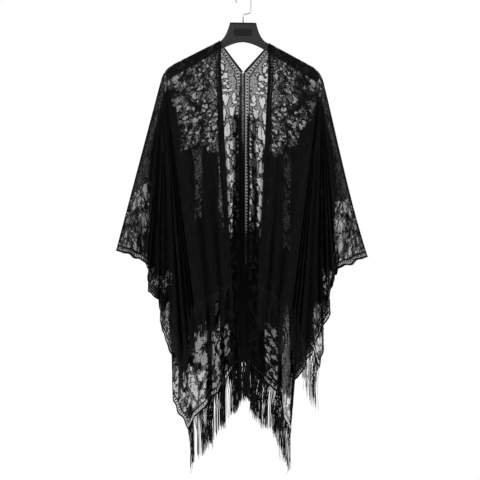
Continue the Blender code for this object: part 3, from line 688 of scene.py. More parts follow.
# A motif table holds vines (middle, swing, waves, phase, half width), blossoms (x, y, reach, petals,
# turn, heart), leaves (x, y, way, length, width, bend), berries (x, y, half width) and twigs
# (from x, y, through x, y, to x, y, half width)
repeatMotifs = {
    "vines": ((58, 27, 1, 0.0, 1.5), (168, 24, 1, 2.1, 1.4)),
    "blossoms": (
        (112, 58, 35, 6, 10, 4.6), (22, 170, 28, 5, 40, 3.8), (196, 66, 19, 5, 0, 2.6),
        (110, 150, 18, 5, 20, 2.4), (140, 214, 26, 5, 65, 3.4), (66, 112, 14, 5, 50, 2.0),
        (206, 196, 17, 6, 15, 2.2),
    ),
    "leaves": (
        (72, 14, 40, 42, 15, 5), (46, 36, 140, 34, 13, -4), (82, 88, 65, 30, 12, 4),
        (34, 82, 118, 40, 15, 6), (40, 118, 200, 30, 12, -3), (46, 146, 60, 38, 14, 5),
        (74, 170, 28, 44, 16, -6), (86, 196, 75, 36, 13, 4), (54, 204, 150, 40, 15, 5),
        (96, 232, 20, 32, 13, -3), (26, 232, 110, 34, 13, 4), (8, 22, 60, 36, 13, 5),
        (160, 20, 125, 38, 14, -5), (186, 16, 55, 34, 13, 4), (170, 96, 110, 44, 16, 6),
        (148, 92, 160, 32, 12, -4), (190, 112, 40, 36, 14, -5), (150, 140, 120, 40, 15, 5),
        (182, 152, 70, 42, 15, 5), (132, 172, 200, 30, 12, 4), (176, 196, 130, 34, 13, -4),
        (176, 232, 75, 38, 14, 5), (206, 232, 40, 30, 12, 3), (118, 116, 30, 34, 12, 5),
        (92, 126, 150, 28, 11, 4), (4, 118, 80, 36, 14, -5), (8, 76, 20, 26, 11, 3),
    ),
    "berries": (
        (90, 22, 4.4), (100, 12, 3.6), (30, 62, 4.0), (146, 62, 4.2), (152, 74, 3.4), (58, 158, 3.8),
        (200, 134, 4.2), (34, 204, 3.8), (160, 176, 4.0), (88, 212, 3.8), (128, 132, 3.8),
    ),
    "twigs": (
        (70, 30, 84, 34, 92, 44, 1.7), (38, 96, 24, 104, 12, 122, 1.6), (44, 150, 34, 160, 30, 168, 1.6),
        (84, 190, 100, 200, 122, 212, 1.8), (150, 40, 138, 46, 132, 52, 1.6),
        (188, 84, 196, 80, 198, 72, 1.5), (150, 118, 132, 126, 118, 140, 1.7),
        (184, 170, 198, 176, 206, 186, 1.5), (62, 190, 44, 196, 26, 184, 1.6),
        (160, 222, 150, 220, 146, 216, 1.5),
    ),
}
# The back of the neck, from the V's edge outwards and from the shoulder down
yokeMotifs = {
    "vines": (),
    "blossoms": ((38, 96, 12, 5, 18, 2.0), (70, 150, 15, 5, 40, 2.2)),
    "leaves": (
        (24, 12, 75, 20, 9, 2), (38, 18, 110, 18, 9, -2), (27, 38, 95, 18, 9, 2),
        (46, 40, 70, 20, 10, 2), (22, 62, 62, 16, 9, 0), (40, 62, 100, 15, 9, 2),
        (58, 66, 80, 22, 10, 3), (58, 94, 100, 20, 10, 2), (22, 116, 85, 30, 9, 3),
        (33, 114, 80, 34, 10, -3), (45, 112, 95, 32, 10, 3), (56, 118, 88, 30, 10, 3),
        (20, 152, 82, 30, 9, -2), (31, 152, 95, 32, 11, 3), (44, 150, 85, 34, 12, -3),
        (57, 172, 95, 32, 13, 3), (22, 188, 88, 42, 12, 3), (37, 190, 92, 44, 16, -4),
        (54, 210, 85, 36, 15, 4), (24, 236, 92, 40, 13, -3), (42, 238, 88, 40, 18, 4),
        (60, 250, 80, 38, 15, -4), (26, 282, 90, 36, 12, 3), (44, 282, 95, 38, 18, -4),
        (62, 292, 85, 36, 15, 4), (24, 324, 88, 38, 12, -3), (46, 326, 86, 38, 18, 4),
        (64, 332, 96, 36, 14, 3), (26, 368, 92, 36, 12, 3), (46, 370, 94, 38, 18, -4),
        (66, 374, 84, 38, 15, 4), (26, 410, 90, 38, 12, 3), (48, 414, 86, 38, 18, 4),
        (68, 418, 94, 36, 14, -3), (28, 454, 90, 36, 12, 3), (52, 458, 92, 38, 17, -4),
    ),
    "berries": ((28, 84, 3.2), (66, 40, 4.0), (52, 58, 3.2), (72, 96, 4.0)),
    "twigs": (
        (74, 20, 50, 60, 48, 108, 1.6), (28, 182, 44, 176, 52, 196, 1.7), (16, 232, 36, 222, 46, 246, 1.7),
        (34, 276, 40, 262, 30, 244, 1.5), (52, 276, 60, 300, 52, 322, 1.6), (18, 320, 30, 314, 40, 330, 1.5),
        (54, 360, 62, 380, 56, 404, 1.6), (34, 404, 40, 396, 36, 372, 1.5), (40, 452, 50, 444, 58, 454, 1.6),
    ),
}


def leafDistance(x, y, length, width, bend):
    # a leaf from 0 to length: how far a point is outside a width that swells as a sine, on a bowed midrib
    t = np.clip(x / length, 0, 1)
    swell = width / 2 * np.sin(math.pi * t**0.85) ** 0.8 * (1 + 0.14 * np.cos(length * 0.55 * t))
    beside = np.abs(y - bend * 4 * t * (1 - t)) - swell
    past = np.hypot(np.maximum(-x, 0) + np.maximum(x - length, 0), np.maximum(beside, 0))
    return np.where((x > 0) & (x < length), beside * 0.9, past)


def turnedTo(dx, dy, angle):
    # the same place measured along a direction and aside from it
    turnX, turnY = math.cos(angle), math.sin(angle)
    return dx * turnX + dy * turnY, dy * turnX - dx * turnY


def drawFigures(width, height, motifs, least, everyVelvet):
    # Two fields on a grid of millimetres that joins itself at its rims: the signed distances to the
    # sheer figures and to the velvet ones. Small leaves then fill the room left over, down to least.
    sheer, velvet = (np.full((height, width), farOff) for field in range(2))

    def patch(x, y, reach):
        # the grid points round a place, and how far each is from it across and down
        columns, rows = (np.arange(int(c - reach), int(c + reach) + 2) for c in (x, y))
        dx, dy = np.meshgrid(columns - x, rows - y)
        return np.ix_(rows % height, columns % width), dx, dy

    def put(field, window, distance):
        # keeps the nearer of what is there and what is added
        field[window] = np.minimum(field[window], distance)

    for x, y, reach, petals, turn, heart in motifs["blossoms"]:
        window, dx, dy = patch(x, y, min(reach + 8, width / 2 - 2))
        radius, angle = np.hypot(dx, dy), np.arctan2(dy, dx) - math.radians(turn)
        part = 2 * math.pi / petals
        aside = (angle + part / 2) % part - part / 2
        start = heart + drawing["petalStart"]
        size = reach * (1 - drawing["petalUneven"] * np.cos(2 * angle + x))
        wide = 2 * reach * math.sin(part / 2) * drawing["petalWidth"]
        along, beside = radius * np.cos(aside), radius * np.sin(aside)
        petal = leafDistance(along - start, beside, size - start, wide, 0)
        apart = drawing["petalGap"] - radius * np.sin(part / 2 - np.abs(aside))
        put(sheer, window, np.maximum(petal, apart))
        put(velvet, window, np.abs(radius - heart) - drawing["ringHalf"])
        if reach > drawing["veinFrom"]:
            # long petals are split by a vein part of the way
            vein = np.abs(beside) - drawing["veinHalf"] * np.clip(1.6 - radius / reach * 2, 0, 1)
            inVein = (radius > start) & (radius < drawing["veinShare"] * reach)
            put(velvet, window, np.where(inVein, vein, farOff))
    for x, y, way, length, wide, bend in motifs["leaves"]:
        window, dx, dy = patch(x, y, min(length + 6, width / 2 - 2))
        along, aside = turnedTo(dx, dy, math.radians(way))
        put(sheer, window, leafDistance(along - 2, aside, length, wide, bend))
        if wide > drawing["ribFrom"]:
            t = np.clip(along / length, 0, 1)
            rib = np.abs(aside - bend * 4 * t * (1 - t)) - drawing["ribHalf"] * (1 - t)
            inRib = (along > 0) & (along < length * drawing["ribShare"])
            put(velvet, window, np.where(inRib, rib, farOff))
    for x, y, half in motifs["berries"]:
        window, dx, dy = patch(x, y, half + 8)
        put(sheer, window, np.hypot(dx, dy) - half)
    for ax, ay, bx, by, cx, cy, half in motifs["twigs"]:
        window, dx, dy = patch(bx, by, min(40, width / 2 - 2))
        t = np.linspace(0, 1, 25)[:, None, None]
        tx = ax * (1 - t) ** 2 + 2 * bx * t * (1 - t) + cx * t**2 - bx
        ty = ay * (1 - t) ** 2 + 2 * by * t * (1 - t) + cy * t**2 - by
        put(velvet, window, np.hypot(dx - tx, dy - ty).min(0) - half)
    rows, columns = np.mgrid[0:height, 0:width].astype(float)
    for middle, swing, waves, phase, half in motifs["vines"]:
        wave = 2 * math.pi * waves * rows / height + phase
        slope = swing * 2 * math.pi * waves / height * np.cos(wave)
        aside = (columns - middle - swing * np.sin(wave) + width / 2) % width - width / 2
        velvet = np.minimum(velvet, np.abs(aside) / np.hypot(1, slope) - half)
    for k in range(500):
        room = np.minimum(sheer, velvet + 1.5)
        row, column = np.unravel_index(np.argmax(room), room.shape)
        free = room[row, column]
        if free < least:
            break
        half = min(free - drawing["fillGap"], drawing["fillMost"])
        window, dx, dy = patch(column, row, half + 9)
        along, aside = turnedTo(dx, dy, drawing["fillTurn"] * k)
        plump, lobes = drawing["fillLobes"]
        lobed = half * (plump + lobes * np.cos(3 * np.arctan2(aside, along)))
        kind = velvet if k % everyVelvet == everyVelvet - 1 else sheer
        put(kind, window, (np.hypot(along, aside / 0.8) - lobed) * 0.8)
    return sheer, velvet


def sampled(field, u, v):
    # reads a field between its grid points, going round where it joins itself
    column, row = np.floor(u).astype(int), np.floor(v).astype(int)
    s, t = u - column, v - row
    height, width = field.shape
    c0, c1, r0, r1 = column % width, (column + 1) % width, row % height, (row + 1) % height
    top = field[r0, c0] * (1 - s) + field[r0, c1] * s
    return top * (1 - t) + (field[r1, c0] * (1 - s) + field[r1, c1] * s) * t


def softHills(size, seed):
    # noise 240 mm square that joins itself at its rims, with hills about size apart
    wave = size * np.hypot(*np.meshgrid(np.fft.rfftfreq(240), np.fft.fftfreq(240)))
    white = np.random.default_rng(seed).normal(size=(240, 240))
    field = np.fft.irfft2(np.fft.rfft2(white) * wave**2 * np.exp(-(wave**2)), s=(240, 240))
    return field / field.std()


repeatFields = drawFigures(lace["across"], lace["down"], repeatMotifs, *lace["repeatFill"])
yokeSize = lace["yokeWidth"] + lace["yokeMargin"], lace["yokeLength"] + lace["yokeMargin"]
yokeFields = drawFigures(*yokeSize, yokeMotifs, *lace["yokeFill"])
bends = softHills(15, 3), softHills(15, 4), softHills(7, 5), softHills(7, 6)
tendrils = softHills(17, 7)
curls = softHills(9, 8)


def laceFigures(u, v, shownU, layer):
    # The figures at points of a panel, v from the shoulder fold and below 0 on the front. Alternate
    # columns of the repeat are half a repeat lower, and a wander keeps the repeats from matching.
    # shownU is u with narrow folds counted as they show, so a figure keeps its real width when seen.
    bentU, bentV, fineU, fineV = (sampled(field, shownU, v) for field in bends)
    wide, narrow = lace["bend"]
    bentU, bentV = wide * bentU + narrow * fineU, wide * bentV + narrow * fineV
    wider, longer = lace["stretch"]
    swing, waveDown, waveAcross = lace["sway"]
    flatU = (shownU + swing * np.sin(v / waveDown) + bentU) / wider
    flatV = (v + swing * np.sin(u / waveAcross) + bentV) / longer
    shift = lace["down"] / 2 * (np.floor(flatU / lace["across"]) % 2)
    found = [sampled(field, flatU, flatV + shift) * (wider + longer) / 2 for field in repeatFields]
    if layer == "back":
        yokeV = v - lace["yokeTop"]
        inYoke = (u < lace["yokeWidth"]) & (yokeV > 0) & (yokeV < lace["yokeLength"])
        yoke = [sampled(field, u + bentU / 2, yokeV + bentV / 2) for field in yokeFields]
        found = [np.where(inYoke, *pair) for pair in zip(yoke, found)]
    # tendrils wind over the ground between the figures, thinner towards the back hem
    sheer, velvet = found
    thick = winding["thick"] - winding["thinner"] * ramp(v, winding["thinFrom"], winding["thinOver"])
    tendril = winding["steep"] * (np.abs(sampled(tendrils, shownU, v)) - thick)
    tendril = np.maximum(tendril, winding["clear"] - sheer)
    if layer == "back":
        tendril = np.where(inYoke & (v < winding["yokeUpper"]), farOff, tendril)
        sheer = np.where(inYoke & (sheer > 0), sheer * lace["yokeSlimmer"], sheer)
    return sheer, np.minimum(velvet, tendril)


# Where the ground is plain net, in millimetres on the flat cloth
plainNet = {
    "diamondAt": (21, 114),  # beside the V's foot
    "diamondHalf": (8, 17),
    "scallops": ((12, 21.0, 0), (6, 9.0, 1)),  # waves of the sleeve's patch: height, length and start
    "sleeveFrom": 205,
    "fade": 14,
}


def plainGround(u, v, shape):
    # from 0 to 1: the ground left as plain net beside the V's foot and along the sleeve's fold
    diamond = farOff
    if shape["layer"] == "back":
        (atU, atV), (halfU, halfV) = plainNet["diamondAt"], plainNet["diamondHalf"]
        diamond = 4 * (np.abs(u - atU) / halfU + np.abs(v - atV) / halfV - 1)
    deep = shape["plainDeep"]
    for size, wave, start in plainNet["scallops"]:
        deep = deep + size * np.sin(u / wave + start)
    before = plainNet["sleeveFrom"] - u
    beyond = u - shape["plainEnds"] + shape["plainSlope"] * np.abs(v)
    sleeve = np.maximum(np.abs(v) - deep, np.maximum(before, beyond)) / plainNet["fade"]
    return np.clip(0.5 - np.minimum(diamond, sleeve), 0, 1)


def laceMaterial():
    # Burnout lace: velvet lines and figures on a fine net, all in black yarn, so light comes only
    # through the holes: most through the sheer figures, less through net, next to none through velvet
    material, tree = newMaterial("burnoutVelvetLace")
    mathNode, rangeNode, mixNode = "ShaderNodeMath", "ShaderNodeMapRange", "ShaderNodeMix"
    cut, border, figures = (
        addNode(tree, "ShaderNodeAttribute", output="Vector", attribute_name=name)
        for name in ("cut", "border", "figures"))
    cutU, cutV = addNode(tree, "ShaderNodeSeparateXYZ", (cut,)).node.outputs[:2]
    nearest, along, outer = addNode(tree, "ShaderNodeSeparateXYZ", (border,)).node.outputs
    sheerAt, velvetAt, layerCount = addNode(tree, "ShaderNodeSeparateXYZ", (figures,)).node.outputs
    # a sheer figure, the velvet line round it, and the other velvet
    soft, line, lineSoft = lace["soft"], lace["outline"], lace["outlineSoft"]
    sheer = addNode(tree, rangeNode, (sheerAt, soft, -soft))
    outline = addNode(tree, mathNode, (
        addNode(tree, rangeNode, (sheerAt, -soft, soft)),
        addNode(tree, rangeNode, (sheerAt, line + lineSoft, line - lineSoft))), operation="MULTIPLY")
    velvet = addNode(tree, rangeNode, (velvetAt, soft, -soft))
    ink = addNode(tree, mathNode, (outline, velvet), operation="MAXIMUM")
    # the ladder border: a solid edge, a row of dashes between two light lines, and an inner line
    fromLine, fromRow = (
        addNode(tree, mathNode, (addNode(tree, mathNode, (nearest, middle), operation="SUBTRACT"),),
                operation="ABSOLUTE") for middle in (ladder["lineAt"], ladder["rowAt"]))
    thicker = addNode(tree, mathNode, (outer, ladder["hemLineMore"]), operation="MULTIPLY")
    fromLine = addNode(tree, mathNode, (fromLine, thicker), operation="SUBTRACT")
    innerLine = addNode(tree, rangeNode, (fromLine, *ladder["lineHalf"]))
    row = addNode(tree, rangeNode, (fromRow, *ladder["rowHalf"]))
    fromDash = addNode(tree, mathNode, (along, ladder["dashPitch"]), operation="PINGPONG")
    dash = addNode(tree, rangeNode, (fromDash, *ladder["dashHalf"]))
    dash = addNode(tree, mathNode, (row, dash), operation="MULTIPLY")
    solidEdge = addNode(tree, rangeNode, (nearest, *ladder["solidEdge"]))
    for part in (solidEdge, innerLine, dash):
        ink = addNode(tree, mathNode, (ink, part), operation="MAXIMUM")
    # the row's open cells let more light through than the rest of the border
    band = addNode(tree, rangeNode, (nearest, *ladder["bandEnd"]))
    bandWall = addNode(tree, mixNode, {"Factor": outer, "A": lace["bandWall"], "B": lace["hemBandWall"]})
    opened = addNode(tree, mathNode, (row, ladder["rowOpens"]), operation="MULTIPLY")
    bandWall = addNode(tree, mathNode, (bandWall, opened), operation="SUBTRACT")
    # the yarn's unevenness in hills 3 mm apart, drawn coarser than real yarn so that it shows
    grain = addNode(tree, "ShaderNodeTexNoise", {"Vector": cut, "Scale": 0.34, "Detail": 2.0})
    uneven = addNode(tree, rangeNode, (grain, 0.36, 0.64, -1.0, 1.0))
    # the net's threads, 2.7 mm apart, likewise coarser than real ones
    holeAcross, holeDown = (
        addNode(tree, rangeNode, (
            addNode(tree, mathNode, (axis, lace["threadPitch"]), operation="PINGPONG"),
            *lace["threadEnds"])) for axis in (cutU, cutV))
    hole = addNode(tree, mathNode, (holeAcross, holeDown), operation="MULTIPLY")
    # the share of light stopped by each ground
    netWall, sheerWall = (
        addNode(tree, mathNode, (uneven, lace[kind + "Grain"], lace[kind + "Wall"]), operation="MULTIPLY_ADD")
        for kind in ("net", "sheer"))
    ground = addNode(tree, mixNode, {"Factor": sheer, "A": netWall, "B": sheerWall})
    wall = addNode(tree, mixNode, {"Factor": band, "A": ground, "B": bandWall})
    relief = addNode(tree, mathNode, (hole, 0.5), operation="SUBTRACT")
    relief = addNode(tree, mathNode, (relief, lace["threadWall"]), operation="MULTIPLY")
    wall = addNode(tree, mathNode, (wall, relief), operation="SUBTRACT")
    wall = addNode(tree, mixNode, {"Factor": ink, "A": wall, "B": lace["inkWall"]})
    # where the cloth is gathered, light meets it as many times over
    through = addNode(tree, mathNode, (1.0, wall), operation="SUBTRACT", use_clamp=True)
    through = addNode(tree, mathNode, (through, layerCount), operation="POWER")
    alpha = addNode(tree, mathNode, (1.0, through), operation="SUBTRACT", use_clamp=True)
    # painted sheen: the base colour is lighter in upright streaks 5 mm apart, standing in for light gleaming
    # on the gathered yarn
    place = addNode(tree, "ShaderNodeTexCoord", output="Object")
    place = addNode(tree, "ShaderNodeMapping", {"Vector": place, "Scale": (1.0, 1.0, 0.06)})
    paintedSheen = addNode(tree, "ShaderNodeTexNoise", {"Vector": place, "Scale": 210.0, "Detail": 3.0})
    paintedSheen = addNode(tree, rangeNode, (paintedSheen, 0.42, 0.72))
    # the base colour runs from dark to the lighter painted sheen along those streaks
    colour = addNode(tree, mixNode, {
        "Factor": paintedSheen, "A": toLinear("#040404"), "B": toLinear("#0b0b0b")}, output=2, data_type="RGBA")
    relief = addNode(tree, mathNode, (ink, hole), operation="SUBTRACT")
    bump = addNode(tree, "ShaderNodeBump", {"Height": relief, "Strength": 0.35, "Distance": 0.0006})
    shader = addNode(tree, "ShaderNodeBsdfPrincipled", {
        "Base Color": colour, "Roughness": 0.8, "Specular IOR Level": 0.05, "Alpha": alpha,
        "Sheen Weight": 0.03, "Sheen Roughness": 0.45, "Sheen Tint": toLinear("#a0a0a6"), "Normal": bump})
    addNode(tree, "ShaderNodeOutputMaterial", {"Surface": shader})
    return material


def grainedMaterial(name, dark, light, scale, detail, sockets, drawnOut=1.0, rough=None, bump=None):
    # Its colour runs from dark to light with a soft noise on the piece's own place, which may be drawn
    # out along z. The noise may set the roughness between two values too, and it may raise the surface,
    # or a finer noise may: bump is that one's scale or 0, its strength and its height.
    material, tree = newMaterial(name)
    place = addNode(tree, "ShaderNodeTexCoord", output="Object")
    place = addNode(tree, "ShaderNodeMapping", {"Vector": place, "Scale": (1.0, 1.0, drawnOut)})
    noise = addNode(tree, "ShaderNodeTexNoise", {"Vector": place, "Scale": scale, "Detail": detail})
    colour = addNode(tree, "ShaderNodeMix", {
        "Factor": noise, "A": toLinear(dark), "B": toLinear(light)}, output=2, data_type="RGBA")
    sockets = {**sockets, "Base Color": colour}
    if rough:
        sockets["Roughness"] = addNode(tree, "ShaderNodeMapRange", (noise, 0.0, 1.0, *rough))
    if bump:
        fine, strength, height = bump
        if fine:
            noise = addNode(tree, "ShaderNodeTexNoise", {"Vector": place, "Scale": fine, "Detail": 1.0})
        sockets["Normal"] = addNode(tree, "ShaderNodeBump", {
            "Height": noise, "Strength": strength, "Distance": height})
    shader = addNode(tree, "ShaderNodeBsdfPrincipled", sockets)
    addNode(tree, "ShaderNodeOutputMaterial", {"Surface": shader})
    return material


laceCloth = laceMaterial()
# Twisted polyester yarn, dyed: near black, with a soft gleam along each thread. Its turns show about
# one to a millimetre, coarser than real ones.
yarn = {
    "detail": 2.0, "drawnOut": 0.25, "bump": (0, 0.3, 0.0004),
    "sockets": {"Roughness": 0.6, "Specular IOR Level": 0.08, "Sheen Weight": 0.03, "Sheen Roughness": 0.4},
}
cordYarn = grainedMaterial("edgingCord", "#020202", "#040404", 900.0, **yarn)
fringeYarn = grainedMaterial("fringeYarn", "#060606", "#101010", 700.0, **yarn)
seamThread = grainedMaterial("seamThread", "#0a0a0b", "#171718", 1100.0, **yarn)
# Moulded polypropylene: charcoal, slightly cloudy over 40 mm, with the fine spark-eroded grain of its
# mould, 0.7 mm across
plastic = {"detail": 4.0, "bump": (1400.0, 0.12, 0.0002), "sockets": {"Specular IOR Level": 0.15}}
hangerPlastic = grainedMaterial("charcoalPlastic", "#1c1d1f", "#222325", 26.0, rough=(0.45, 0.57), **plastic)
platePlastic = grainedMaterial("platePlastic", "#050506", "#090a0b", 26.0, rough=(0.37, 0.49), **plastic)
# Drawn steel wire, zinc plated: a soft mirror, with lines 0.6 mm apart along it from the die, coarser
# than real ones
steelWire = grainedMaterial(
    "platedSteelWire", "#8b8c8e", "#a6a7a9", 1800.0, 2.0, {"Metallic": 1.0},
    drawnOut=0.08, rough=(0.16, 0.34))
print("materials made")


# The cloth is made in four quarters
quarters = [(side, layer) for side in panels for layer in layers]
shapes = {quarter: layerShape(*quarter) for quarter in quarters}

# Creases, and how many layers the cloth counts as, in millimetres where nothing else is said
sheet = {
    "heldFrom": 0.03,  # metres: creases and gathers begin so far down from the shoulder fold
    "heldRun": 0.06,  # metres
    "rimRun": 0.004,  # metres: creases flatten so near to a free edge
    "rimLeast": 0.25,  # to this share of their height
    "roomWide": 9,  # columns that are evened over
    "roomFrom": 0.35,  # a fold that shows less than this share of its cloth has no room for a crease
    "roomRun": 0.4,
    "roomLeast": 0.03,
    "shownWide": 31,  # columns that are evened over for the figures' widths
    "folds": 9,  # the most that a fold seen edge on counts as
    "hemBand": 17,  # the hem's border lies flatter than the cloth above it
    "hemFlat": (9, 60, 0.12),  # where that ends, over what, and the share of its folds it starts with
    "turnedLayers": 3.5,  # the front edge is turned back on itself
    "turnedWidth": (11, 13, 130, 90, 4),  # its width, what that gains, from where, over what, its rim
    "turnedTop": (12, 60, 0.3),  # where it comes in, over what, and the share it starts with
    "waistLayers": 1.2,  # the seam's borders lie folded together towards the waist
    "waistFrom": (400, 200, 12, 3),  # where they come in, over what, their width and its rim
    "sleeveLayers": 2.4,  # the sleeve's fold is seen edge on
    "sleeveFrom": (6, 20, 30),  # half its width, where past the arm it comes in, and over what
}
# How the border's drawing is fitted to the edges, in millimetres
fit = {
    "hem": 0.92,  # the hem's border is drawn wider by this
    "back": 1.14,  # and the back's inner border narrower
    "reach": 30,  # further in nothing is changed
    "vSolid": (3.5, 1.257),  # along the V: the solid edge's width, and how much narrower it is drawn
    "vBeyond": (4.4, 1.55),  # where the rest starts in the drawing, and how much narrower that is
    "vFade": (8, 16),  # how far below the V's foot that ends, and over what
    "vReach": 60,
    "vDashes": 0.22,  # its dashes lie so much closer
    "belowV": 2,
    "sewnIn": (24, 1.8),  # the right panel's border there, and how far its edge goes into the seam
    "leftReach": 20,
    "leftLine": (5.0, 3.6, 2.4),  # where the left border starts, its line's middle and half width
    "underFrom": 38,  # from here the left panel's border goes under the other's
    "underLine": (24.0, 4.8, 3.0),
    "lineTo": 9.5,
    "darkTo": 4,
}
# How figures keep clear of plain ground, and where small curls speckle it
clearing = {
    "plain": 20,  # how hard plain ground pushes figures off
    "patch": 14,  # and a patch of it
    "curlShare": 0.40,  # curls are where their noise is nearer to 0 than this
    "backCurls": 0.7,  # what a patch's own share counts on the back
    "curlSteep": 2.6,  # turns the noise to millimetres
    "curlFrom": 0.3,
    "curlBelow": 230,  # across and down together, so that none are beside the V's foot
    "velvet": 5.5,  # velvet keeps clear too, up to so far past the border's clear strip
}
# The side edge's waves, in metres: how far in and down they begin, and each one's swing and length
sideWaves = {"reach": 0.018, "fullFrom": 0.1, "long": (0.0026, 0.0125), "short": (0.00182, 0.0071)}


def wavedSide(u, v):
    # the free side edge draws in and out by a few millimetres along its length
    near = np.exp(-(((cloth["width"] - u) / sideWaves["reach"]) ** 2)) * ramp(v, 0, sideWaves["fullFrom"])
    (swing, wave), (shortSwing, shortWave) = sideWaves["long"], sideWaves["short"]
    return u + near * (swing * np.sin(v / wave) + shortSwing * np.sin(v / shortWave + 1))


def shareShown(points, wide):
    # how much of each step along the cloth shows from the front, evened over so many columns
    step = np.diff(points, axis=1)
    share = np.hypot(step[..., 0], step[..., 2]) / np.maximum(np.linalg.norm(step, axis=-1), 1e-9)
    even = np.ones(wide) / wide
    padded = np.pad(np.clip(share, 0.15, 1), ((0, 0), (wide // 2, wide // 2)), "edge")
    return np.apply_along_axis(lambda line: np.convolve(line, even, "valid"), 1, padded)


def countLayers(shape, points, across, down, fromHem, held):
    # how many layers light meets at each point: more in a steep fold, in a gather and at a turned edge
    folds = np.clip(1 / np.maximum(np.abs(gridNormals(points)[..., 1]), 1e-3), 1, sheet["folds"]) - 1
    flatFrom, flatRun, flatLeast = sheet["hemFlat"]
    flat = np.maximum(ramp(fromHem, flatFrom, flatRun), flatLeast)
    folds *= np.where(fromHem < sheet["hemBand"], flat, 1)
    count = 1 + folds * held
    gathered = gatherLayers(points[..., 0] * 1000, points[..., 2] * 1000, shape["layer"], count)
    count += (gathered - count) * held
    if shape["layer"] == "front":
        (narrow, more, start, run, fade), (top, topRun, least) = sheet["turnedWidth"], sheet["turnedTop"]
        turned = ramp(narrow + more * ramp(down, start, run), across, fade)
        count += sheet["turnedLayers"] * turned * np.maximum(ramp(down, top, topRun), least)
    else:
        start, run, width, fade = sheet["waistFrom"]
        count += sheet["waistLayers"] * ramp(down, start, run) * ramp(width, across, fade)
    half, beyond, run = sheet["sleeveFrom"]
    pastArm = ramp(across, shape["armLength"] * 1000 + beyond, run)
    return count + sheet["sleeveLayers"] * np.exp(-((down / half) ** 2)) * pastArm


def seamLayers(down, layers):
    # what a part of the seam counts as, which grows in two steps on its way down
    start, more, most = layers
    first, second, run = seam["stepsDown"]
    return start + more * ramp(down, first, run) + most * ramp(down, second, run)


